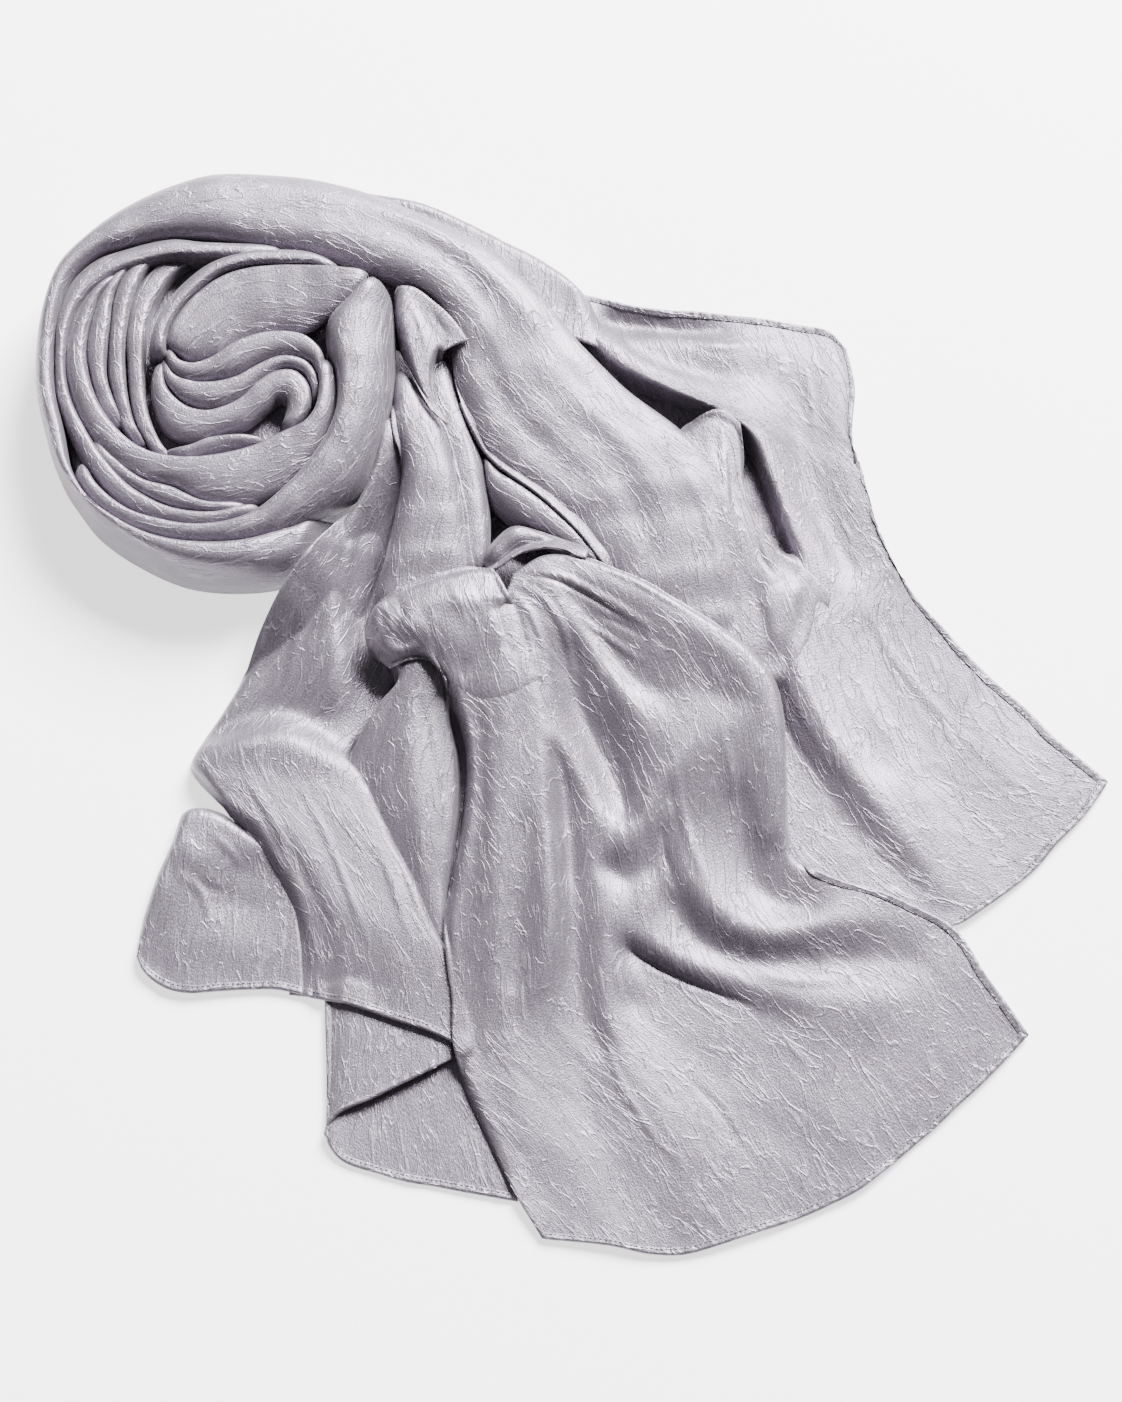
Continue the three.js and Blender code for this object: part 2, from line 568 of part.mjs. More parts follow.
      [[36, -165, 2.5], [60, -190, 2.5], [90, -215, 2.5], [120, -245, 2]],
      [[8, -200, 3], [16, -228, 2.5], [30, -258, 2]],
      [[150, -190, 4.5], [178, -205, 3.5], [205, -214, 1.5]],
      [[110, -200, 3.5], [140, -230, 4.5], [160, -254, 2]],
      [[206, -150, 5], [222, -170, 3], [236, -182, 1]],
      [[-9, -289, 0.5], [25, -293, 2.5], [60, -297, 0.5], [95, -288, 2], [125, -278, 0.5],
          [155, -263, 2], [185, -239, 0.5], [215, -211, 1.5], [243, -184, 0.5]],
    ],
  },
  collar_petal: {
    across: 6,
    down: 6,
    over: ["ribbon_1", "ribbon_2"],
    top: [[-92, 224], [-80, 223], [-68, 214], [-58, 204], [-50, 192]],
    right: [[-50, 192], [-58, 189], [-65, 184], [-69, 175], [-69, 163], [-66, 154], [-61, 144]],
    bottom: [[-70, 152], [-66, 148], [-61, 144]],
    left: [[-92, 224], [-91, 205], [-87, 190], [-81, 173], [-75, 161], [-70, 152]],
    turned: { left: [0, 1], right: [0.3, 1] },
    round: 5,
    relief: [
      [[-86, 216, 39], [-78, 200, 39], [-74, 184, 38], [-73, 170, 37], [-68, 154, 34]],
      [[-72, 210, 38], [-62, 200, 38], [-54, 193, 37]],
      [[-80, 212, 37], [-68, 198, 36], [-63, 190, 37]],
    ],
  },
  knot: {
    across: 11,
    down: 9,
    over: ["ribbon_1", "ribbon_2", "leaf", "front_end", "small_petal", "under_tail"],
    top: [[-100, 44], [-88, 52], [-75, 58], [-60, 63], [-48, 66], [-36, 64]],
    right: [[-36, 64], [-28, 48], [-20, 34], [-14, 20], [-10, 4], [-8, -14]],
    bottom: [[-90, 10], [-80, 14], [-70, 14], [-63, 6], [-58, -8], [-48, -20], [-30, -24],
        [-8, -14]],
    left: [[-100, 44], [-104, 35], [-101, 22], [-90, 10]],
    turned: { top: [0, 1], left: [0, 1], bottom: [0, 0.42] },
    round: 7,
    relief: [
      [[-96, 36, 33], [-82, 42, 37], [-68, 44, 39], [-52, 44, 39], [-38, 40, 38], [-30, 26, 36],
          [-27, 8, 32], [-27, -10, 28]],
      [[-92, 46, 31], [-76, 52, 34], [-60, 57, 35], [-46, 59, 35], [-38, 56, 35]],
      [[-90, 32, 34], [-80, 29, 37], [-71, 27, 37], [-64, 17, 35], [-60, 6, 31], [-56, -4, 27]],
      [[-90, 24, 29], [-80, 21, 30], [-73, 19, 29], [-67, 11, 27], [-63, 2, 25]],
    ],
  },
};

// ---- the hem's double fold -------------------------------------------------------------------------
// A sheet that turns back on itself: each row is a line of x, y, z that runs over the fold.
const HEM_FOLD = {
  across: 16,
  down: 3,
  rows: [
    [[-62, -158, 7], [-90, -158, 7], [-112, -160, 6.6], [-124, -163, 3.6], [-112, -165, 0.4],
        [-80, -162, 0], [-48, -160, 0]],
    [[-56, -197, 8], [-82, -206, 8], [-109, -217, 7.4], [-121, -230, 4], [-109, -244, 0.6],
        [-66, -258, 0], [-22, -268, 0]],
  ],
};

// ---- small helpers -----------------------------------------------------------------------------
const vec = ([x, y, z = 0]) => new THREE.Vector3(x, y, z);
const clamp01 = (t) => Math.min(1, Math.max(0, t));
const smooth = (t) => clamp01(t) ** 2 * (3 - 2 * clamp01(t));
const rowsOf = (count, make) => Array.from({ length: count + 1 }, (_, i) => make(i / count));

const curveThrough = (points) => new THREE.CatmullRomCurve3(points.map(vec), false, "centripetal");

// A smooth line through a few points, read by its share of length.
function line(points) {
  const curve = curveThrough(points);
  curve.arcLengthDivisions = 300;
  return (t) => curve.getPointAt(clamp01(t));
}

// A smooth line through a table's rows, read by row.
function rowLine(points) {
  const curve = curveThrough(points);
  return (t) => curve.getPoint(clamp01(t));
}

// A straight-run number between a table's rows, read by row.
function rowValue(values) {
  return (t) => {
    const at = clamp01(t) * (values.length - 1);
    const low = Math.min(values.length - 2, Math.floor(at));
    return THREE.MathUtils.lerp(values[low], values[low + 1], smooth(at - low));
  };
}

// ---- height maps -------------------------------------------------------------------------------
const SIDE = Math.round((2 * MAP_HALF) / CELL);
const cellOf = (x, y) => Math.floor((y + MAP_HALF) / CELL) * SIDE + Math.floor((x + MAP_HALF) / CELL);

// The highest point of a finished stretch over each cell of the table.
function mapOf(grid, rise) {
  const cells = new Map();
  const steps = 6;
  for (let i = 0; i + 1 < grid.length; i++)
    for (let j = 0; j + 1 < grid[i].length; j++)
      for (let a = 0; a <= steps; a++)
        for (let b = 0; b <= steps; b++) {
          const p = grid[i][j].clone().lerp(grid[i + 1][j], a / steps);
          const q = grid[i][j + 1].clone().lerp(grid[i + 1][j + 1], a / steps);
          p.lerp(q, b / steps);
          const cell = cellOf(p.x, p.y);
          cells.set(cell, Math.max(cells.get(cell) ?? 0, p.z + rise + GAP));
        }
  return cells;
}

// How high a stretch has to lie over others: their tops, spread out and sloping down to the table.
function supportOver(names) {
  const high = new Float32Array(SIDE * SIDE);
  for (const name of names)
    for (const [cell, z] of laid.get(name).map) high[cell] = Math.max(high[cell], z);
  const wide = high.slice();
  const reach = Math.ceil(SPREAD / CELL);
  high.forEach((z, cell) => {
    if (z > 0)
      for (let a = -reach; a <= reach; a++)
        for (let b = -reach; b <= reach; b++)
          if (Math.hypot(a, b) * CELL <= SPREAD) wide[cell + a * SIDE + b] = Math.max(wide[cell + a * SIDE + b], z);
  });
  const fall = (cell, next, distance) => {
    wide[cell] = Math.max(wide[cell], wide[next] - SLOPE * CELL * distance);
  };
  const sweep = (from, to, step) => {
    for (let y = from; y !== to; y += step)
      for (let x = from; x !== to; x += step) {
        const cell = y * SIDE + x;
        fall(cell, cell - step, 1);
        fall(cell, cell - step * SIDE, 1);
        fall(cell, cell - step * (SIDE + 1), Math.SQRT2);
        fall(cell, cell - step * (SIDE - 1), Math.SQRT2);
      }
  };
  sweep(1, SIDE - 1, 1);
  sweep(SIDE - 2, 0, -1);
  return (x, y) => wide[cellOf(x, y)];
}

// ---- the ways a stretch lies -----------------------------------------------------------------------
// The mean of the cells beside one, on a square map.
function beside(field, side, cell) {
  const [row, column] = [Math.floor(cell / side), cell % side];
  const [west, east] = [column > 0 ? -1 : 0, column + 1 < side ? 1 : 0];
  const [south, north] = [row > 0 ? -side : 0, row + 1 < side ? side : 0];
  return (field[cell + west] + field[cell + east] + field[cell + south] + field[cell + north]) / 4;
}

// The lines' heights on cells `block` times as wide as the map's, and NaN where no line runs.
function linesOn(block, total, count) {
  const side = SIDE / block;
  const [sum, hits] = [new Float64Array(side * side), new Float64Array(side * side)];
  for (let y = 0; y < SIDE; y++)
    for (let x = 0; x < SIDE; x++) {
      const cell = Math.floor(y / block) * side + Math.floor(x / block);
      sum[cell] += total[y * SIDE + x];
      hits[cell] += count[y * SIDE + x];
    }
  return sum.map((value, cell) => value / hits[cell]);
}

// A cloth's height over the table: it passes through its lines and is drawn tight between them,
// first on wide cells and then on narrower ones.
function reliefField(lines) {
  const [total, count] = [new Float64Array(SIDE * SIDE), new Float64Array(SIDE * SIDE)];
  for (const points of lines) {
    const curve = curveThrough(points);
    for (const p of curve.getSpacedPoints(Math.ceil(curve.getLength()))) {
      total[cellOf(p.x, p.y)] += p.z;
      count[cellOf(p.x, p.y)] += 1;
    }
  }
  const add = (a, b) => a + b;
  let field = new Float64Array((SIDE / 32) ** 2).fill(total.reduce(add) / count.reduce(add));
  for (const block of [16, 8, 4, 2, 1]) {
    const side = SIDE / block;
    const fixed = linesOn(block, total, count);
    const wider = field;
    const above = (cell) => Math.floor(cell / side / 2) * (side / 2) + Math.floor((cell % side) / 2);
    field = fixed.map((height, cell) => (Number.isNaN(height) ? wider[above(cell)] : height));
    for (let pass = 0; pass < TIGHTENING; pass++)
      field.forEach((_, cell) => {
        if (Number.isNaN(fixed[cell])) field[cell] = beside(field, side, cell);
      });
  }
  for (let pass = 0; pass < EASING; pass++) {
    const before = field;
    field = before.map((height, cell) => (height + beside(before, SIDE, cell)) / 2);
  }
  return (x, y) => {
    const [row, column] = [y, x].map((value) => (value + MAP_HALF) / CELL - 0.5);
    const [i, j] = [Math.floor(row), Math.floor(column)];
    const across = (from) => THREE.MathUtils.lerp(field[from], field[from + 1], column - j);
    return THREE.MathUtils.lerp(across(i * SIDE + j), across((i + 1) * SIDE + j), row - i);
  };
}

function panelGrid({ top, right, bottom, left, across, down, relief, turned = {}, round, over }) {
  const [T, R, B, L] = [top, right, bottom, left].map(line);
  const field = reliefField(relief);
  const support = supportOver(over);
  const plan = (u, v) => {
    const p = T(u).multiplyScalar(1 - v).addScaledVector(B(u), v);
    p.addScaledVector(L(v), 1 - u).addScaledVector(R(v), u);
    p.addScaledVector(T(0), -(1 - u) * (1 - v)).addScaledVector(T(1), -u * (1 - v));
    return p.addScaledVector(B(0), -(1 - u) * v).addScaledVector(B(1), -u * v);
  };
  const edge = (side, along, distance) => {
    if (!turned[side]) return 1;
    const [from, to] = turned[side];
    const on = smooth((along - from) / 0.06 + 1) * smooth((to - along) / 0.06 + 1);
    return 1 - on * (1 - Math.sqrt(1 - (1 - clamp01(distance / round)) ** 2));
  };
  const spaced = (t) => t - (EDGE_CELLS * Math.sin(2 * Math.PI * t)) / (2 * Math.PI);
  return rowsOf(down, (vt) =>
    rowsOf(across, (ut) => {
      const [u, v] = [spaced(ut), spaced(vt)];
      const p = plan(u, v);
      let own = field(p.x, p.y);
      const wide = L(v).distanceTo(R(v));
      const tall = T(u).distanceTo(B(u));
      own *= edge("left", v, u * wide) * edge("right", v, (1 - u) * wide);
      own *= edge("top", u, v * tall) * edge("bottom", u, (1 - v) * tall);
      p.z = Math.max(own, support(p.x, p.y));
      return p;
    }),
  );
}

function bandGrid({ rows, feet, along, over, full = 1 }, sides = 3) {
  const inner = rowLine(rows.map((row) => [row[0], row[1]]));
  const outer = rowLine(rows.map((row) => [row[2], row[3]]));
  const [share, top] = [4, 5].map((k) => rowValue(rows.map((row) => row[k])));
  const [footIn, footOut] = [0, 1].map((k) => rowValue(rows.map((row) => row[6 + k] ?? feet[k])));
  const support = over ? supportOver(over) : () => 0;
  const flank = (crest, edge, high, foot) => {
    const reach = Math.max(NARROWEST, crest.distanceTo(edge) - GAP);
    const aside = edge.clone().sub(crest).normalize();
    const belly = foot + BELLY * (high - foot);
    return rowsOf(sides, (s) => {
      const turn = Math.min(1, (s * sides) / (sides - 1)) * (Math.PI / 2);
      const under = Math.max(0, s * sides - (sides - 1));
      const [out, rise] = [Math.sin(turn) ** full, Math.max(0, Math.cos(turn)) ** full];
      const p = crest.clone().addScaledVector(aside, reach * (out - TUCK * under));
      p.z = Math.max(belly + (high - belly) * rise - (belly - foot) * under, support(p.x, p.y));
      return p;
    });
  };
  return rowsOf(along, (t) => {
    const [a, b] = [inner(t), outer(t)];
    const crest = a.clone().lerp(b, share(t));
    return [...flank(crest, a, top(t), footIn(t)).reverse(), ...flank(crest, b, top(t), footOut(t)).slice(1)];
  });
}

function foldedSheet({ rows, across, down }) {
  const ends = rows.map(line);
  return rowsOf(down, (v) => rowsOf(across, (u) => ends[0](u).lerp(ends[1](u), v)));
}

// ---- from a grid to a wall -------------------------------------------------------------------------
const step = (grid, i, j) =>
  grid[THREE.MathUtils.clamp(i, 0, grid.length - 1)][THREE.MathUtils.clamp(j, 0, grid[0].length - 1)];

function normalsOf(grid) {
  const normals = grid.map((row, i) =>
    row.map((_, j) => {
      const down = step(grid, i + 1, j).clone().sub(step(grid, i - 1, j));
      const across = step(grid, i, j + 1).clone().sub(step(grid, i, j - 1));
      return across.cross(down).normalize();
    }),
  );
  const up = Math.sign(normals.flat().reduce((sum, n) => sum + n.z, 0));
  normals.flat().forEach((n) => n.multiplyScalar(up));
  return { normals, up };
}

// The same grid with its edge drawn out, so that the wall around it stands off its neighbours.
function drawnOut(grid, distance) {
  const wide = grid.map((row) => row.map((p) => p.clone()));
  const [n, m] = [grid.length, grid[0].length];
  const push = (i, j, k, l) =>
    wide[i][j].addScaledVector(grid[i][j].clone().sub(grid[k][l]).normalize(), distance);
  for (let i = 0; i < n; i++) {
    push(i, 0, i, 1);
    push(i, m - 1, i, m - 2);
  }
  for (let j = 0; j < m; j++) {
    push(0, j, 1, j);
    push(n - 1, j, n - 2, j);
  }
  return wide;
}

function solidOf(points, index) {
  const mesh = new wasm.Mesh({
    numProp: 3,
    vertProperties: new Float32Array(points),
    triVerts: new Uint32Array(index),
  });
  return new wasm.Manifold(mesh);
}

// The closed wall between two offsets from a grid.
function wallSolid(grid, low, high, floor = 0) {
  const { normals, up } = normalsOf(grid);
  const [n, m] = [grid.length, grid[0].length];
  const points = [];
  for (const offset of [high, low])
    grid.forEach((row, i) =>
      row.forEach((p, j) => {
        const q = p.clone().addScaledVector(normals[i][j], offset);
        points.push(q.x, q.y, Math.max(q.z, floor));
      }),
    );
  const at = (face, i, j) => face * n * m + i * m + j;
  const index = [];
  const quad = (a, b, c, d) => index.push(...(up > 0 ? [a, b, c, a, c, d] : [a, c, b, a, d, c]));
  for (let i = 0; i + 1 < n; i++)
    for (let j = 0; j + 1 < m; j++) {
      quad(at(0, i, j), at(0, i, j + 1), at(0, i + 1, j + 1), at(0, i + 1, j));
      quad(at(1, i, j), at(1, i + 1, j), at(1, i + 1, j + 1), at(1, i, j + 1));
    }
  for (let j = 0; j + 1 < m; j++) {
    quad(at(0, 0, j), at(1, 0, j), at(1, 0, j + 1), at(0, 0, j + 1));
    quad(at(0, n - 1, j), at(0, n - 1, j + 1), at(1, n - 1, j + 1), at(1, n - 1, j));
  }
  for (let i = 0; i + 1 < n; i++) {
    quad(at(0, i, 0), at(0, i + 1, 0), at(1, i + 1, 0), at(1, i, 0));
    quad(at(0, i, m - 1), at(1, i, m - 1), at(1, i + 1, m - 1), at(0, i + 1, m - 1));
  }
  return solidOf(points, index);
}

// ---- the hidden layers -----------------------------------------------------------------------------
// They share one rounded solid, flat below: high inside the rosette, low in the middle.
const ROSETTE_RIGHT = [
  [-165, 284], [-130, 268], [-108, 240], [-98, 215], [-96, 188], [-97, 162], [-103, 135], [-118, 106],
];
const ROSETTE_MIDDLE = [-183, 172];
const SLAB = [
  [-112, 262], [-60, 250], [-15, 215], [40, 178], [88, 148], [106, 118], [108, 80], [100, 40], [60, 24],
  [0, 6], [-55, -6], [-82, 22], [-90, 60], [-92, 110], [-104, 150],
];
const SLAB_MIDDLE = [-5, 112];

// A solid with a flat bottom and a rounded shoulder, `inset` inside an outline that is seen whole
// from its middle.
function pebble({ outline, middle, inset, top, round, around = 40, shoulder = 3 }) {
  const centre = vec(middle);
  const rim = curveThrough([...outline, outline[0]]).getSpacedPoints(around).slice(1);
  const area = rim.reduce((sum, p, k) => {
    const q = rim[(k + 1) % around];
    return sum + p.x * q.y - q.x * p.y;
  }, 0);
  if (area < 0) rim.reverse();
  const ring = (distance, z) =>
    rim.map((p) => {
      const out = p.clone().sub(centre);
      return centre.clone().addScaledVector(out, 1 - distance / out.length()).setZ(z);
    });
  const arc = (t) => [1 - Math.cos((t * Math.PI) / 2), Math.sin((t * Math.PI) / 2) - 1].map((k) => k * round);
  const rings = [ring(inset, 0), ...rowsOf(shoulder, arc).map(([a, b]) => ring(inset + a, top + b))];
  const points = [centre, ...rings.flat(), centre.clone().setZ(top)];
  const at = (level, k) => 1 + level * around + (k % around);
  const index = [];
  for (let k = 0; k < around; k++) {
    index.push(0, at(0, k + 1), at(0, k), at(shoulder + 1, k), at(shoulder + 1, k + 1), points.length - 1);
    for (let level = 0; level <= shoulder; level++) {
      const [a, b, c, d] = [at(level, k), at(level, k + 1), at(level + 1, k + 1), at(level + 1, k)];
      index.push(a, b, c, a, c, d);
    }
  }
  return solidOf(points.flatMap((p) => [p.x, p.y, p.z]), index);
}

function coreSolid() {
  const wrap = BANDS.rosette_wrap.rows.slice(1).map((row) => [row[2], row[3]]);
  const rosette = { outline: [...wrap, ...ROSETTE_RIGHT], middle: ROSETTE_MIDDLE, inset: CORE_INSET };
  const slab = { outline: SLAB, middle: SLAB_MIDDLE, inset: 0, top: SLAB_TOP, round: SLAB_TOP / 2 };
  return pebble({ ...rosette, top: CORE_TOP, round: CORE_ROUND }).add(pebble(slab));
}

// ---- laying the stretches, from the table up ---------------------------------------------------------
const laid = new Map();

function lay(name, grid, low, high) {
  laid.set(name, { grid, low, high, map: mapOf(grid, Math.max(0, high)) });
}

const layBand = (name) => lay(name, bandGrid(BANDS[name]), -WALL, 0);
const layPanel = (name) => lay(name, panelGrid(PANELS[name]), 0, WALL);

Object.keys(BANDS).filter((name) => name.startsWith("rosette")).forEach(layBand);
["right_end", "second_fold", "behind"].forEach(layPanel);
lay("hem_fold", foldedSheet(HEM_FOLD), 0, WALL);
["left_flap", "leaf", "under_tail"].forEach(layPanel);
["ribbon_2", "ribbon_1", "under_roll", "main_band"].forEach(layBand);
["collar_petal", "front_end"].forEach(layPanel);
layBand("small_petal");
layPanel("knot");

// Each stretch gives way to the ones above it, and keeps its largest piece.
const solids = new Map();
const above = [];

function boxesMeet(one, other) {
  const [a, b] = [one.boundingBox(), other.boundingBox()];
  return [0, 1, 2].every((k) => a.min[k] < b.max[k] && b.min[k] < a.max[k]);
}

function cutBack(solid) {
  const near = above.filter((upper) => boxesMeet(solid, upper));
  const rest = near.length ? wasm.Manifold.difference([solid, ...near]) : solid;
  return rest.decompose().sort((a, b) => b.volume() - a.volume())[0];
}

for (const name of [...laid.keys()].reverse()) {
  const { grid, low, high } = laid.get(name);
  const solid = cutBack(wallSolid(grid, low, high).simplify(FLATNESS));
  solids.set(name, solid);
  above.push(wallSolid(drawnOut(grid, GAP), low - GAP, high + GAP, -GAP), solid);
}
solids.set("hidden_layers", cutBack(coreSolid()));

// ---- the part --------------------------------------------------------------------------------------
const satin = new THREE.MeshStandardMaterial({ color: "#b2aeb4", roughness: 0.4, metalness: 0 });
const hijab = new THREE.Group();
hijab.position.set(-CENTRE[0], -CENTRE[1], 0);
for (const [name, solid] of solids) {
  const { vertProperties, triVerts } = solid.getMesh();
  const geometry = new THREE.BufferGeometry();
  geometry.setAttribute("position", new THREE.BufferAttribute(vertProperties, 3));
  geometry.setIndex(new THREE.BufferAttribute(triVerts, 1));
  geometry.computeVertexNormals();
  const mesh = new THREE.Mesh(geometry, satin.clone());
  mesh.name = name;
  hijab.add(mesh);
}

export default hijab;
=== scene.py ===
"""A satin hijab laid on a table, one end wound into a rosette, with a knot and two fanned ends."""

import math
import random

import bpy
import numpy as np
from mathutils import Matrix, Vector


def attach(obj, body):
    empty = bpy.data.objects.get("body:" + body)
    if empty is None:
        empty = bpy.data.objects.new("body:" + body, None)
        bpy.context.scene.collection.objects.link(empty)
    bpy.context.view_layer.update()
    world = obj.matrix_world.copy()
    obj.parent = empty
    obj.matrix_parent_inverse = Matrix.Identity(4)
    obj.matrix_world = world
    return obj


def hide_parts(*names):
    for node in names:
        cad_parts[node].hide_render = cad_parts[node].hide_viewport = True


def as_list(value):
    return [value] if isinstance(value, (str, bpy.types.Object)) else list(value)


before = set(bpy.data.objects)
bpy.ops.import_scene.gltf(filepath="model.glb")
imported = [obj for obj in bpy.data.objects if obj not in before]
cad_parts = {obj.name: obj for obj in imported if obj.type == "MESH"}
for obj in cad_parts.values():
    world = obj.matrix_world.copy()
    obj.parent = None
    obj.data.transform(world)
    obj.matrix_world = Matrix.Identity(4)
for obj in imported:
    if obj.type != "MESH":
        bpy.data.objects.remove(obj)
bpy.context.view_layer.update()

bl_info = {
    "name": "Folded Satin Hijab",
    "version": (1, 0, 0),
    "blender": (4, 5, 0),
    "location": "3D View > Sidebar > Hijab",
    "description": "Lays a crinkled satin hijab as a rosette, a knot and two fanned ends",
    "category": "Add Mesh",
}

MM = 0.001

# ---- sizes in millimetres, as in the part ------------------------------------------------------
WALL = 1.3  # the solids' wall, whose outer face the cloth follows
GAP = 0.4  # between a stretch and what it lies on
CENTRE = np.array([3.1, -2.4])  # from the tables' frame to the part's origin
CORE_TOP = 24  # the hidden layers under the rosette
SLAB_TOP = 5  # and under the middle
FOOT = CORE_TOP + 2 * GAP  # where a rosette band's sides end
LOW_FOOT = SLAB_TOP + 2 * GAP  # and where they reach down beside the middle
BELLY = 0.38  # the share of its height at which a band is widest
TUCK = 0.16  # how far it draws in below that, as a share of its reach
NARROWEST = 2.2  # the least reach of a band's side
MAP_CELL = 2.0  # a cell of the height maps
MAP_HALF = 330  # and half of a map's side
SLOPE = 0.8  # how steeply cloth falls away from what it lies on
SPREAD = 5  # and how far it runs on level first

# ---- sizes of the cloth alone ------------------------------------------------------------------
STEP = 1.9  # the cloth's mesh
SHELL = 0.8  # and its wall
LEAST_WIDE = 14  # the least half width that a band's mesh is made for
ARC = 1.35  # how much longer a band's side is than that half width
NOSE = 9  # a band's rounded end
BLUNT = 0.35  # and the share of its width that is left at the very end
LEAN = 0.6  # how far a rosette band leans in on its inner fold
TUCKED = 3.5  # and how far its outer edge runs in under the next one
SINK = 3.6  # how far a sheet's edge runs into the cloth that it merges with
FLUSH = 0.2  # and how far it stands above that cloth before it does
LOWEST = 0.9  # the least height of creased cloth over the table
QUIET = 14  # how far down its sides a band's creases fade
QUIETED = 0.75  # the share of them that is gone there
END_ROWS, END_KEPT = 4, 0.3  # the rows near a band's ends where they fade, and what is left
RIDGE_HIGH, FINE_HIGH, SWELL_HIGH = 0.22, 0.10, 0.8  # the crinkle
FOLD_DEEP = 60  # the cloth that the folded hem shows
HEM_WIDE = 4.6
HEM_THICK = 2.8
STITCH = 2.6

# ---- passes, fades and seeds -------------------------------------------------------------------
LINE_PROBES = 301  # the points that a line's length is added up from
BAND_PROBES = 200
DRAWN = 0.7  # between the points that a line of heights is drawn with
HALVINGS = (32, 16, 8, 4, 2, 1)  # the cell sizes in which a relief is drawn tight
TIGHT_PASSES = 60
FALL_PASSES = 30
EASE = 5  # how far a relief's creases are rounded, in passes
TURN_FADE = 0.06  # the share of a side in which a turned stretch begins and ends
SUNK_FADE = 0.1  # and a sunk one
FLUSH_REACH = 1.4  # where a sunk edge is flush, in widths of its sinking
CALM_REACH = 1.6  # and where it is calm
CALM = 0.85  # how much of the creases that takes away
BAND_SEED, PANEL_SEED, STITCH_SEED = 10, 60, 5
HEM_SEEDS = (70, 80, 90)  # of the sway, pucker and swell

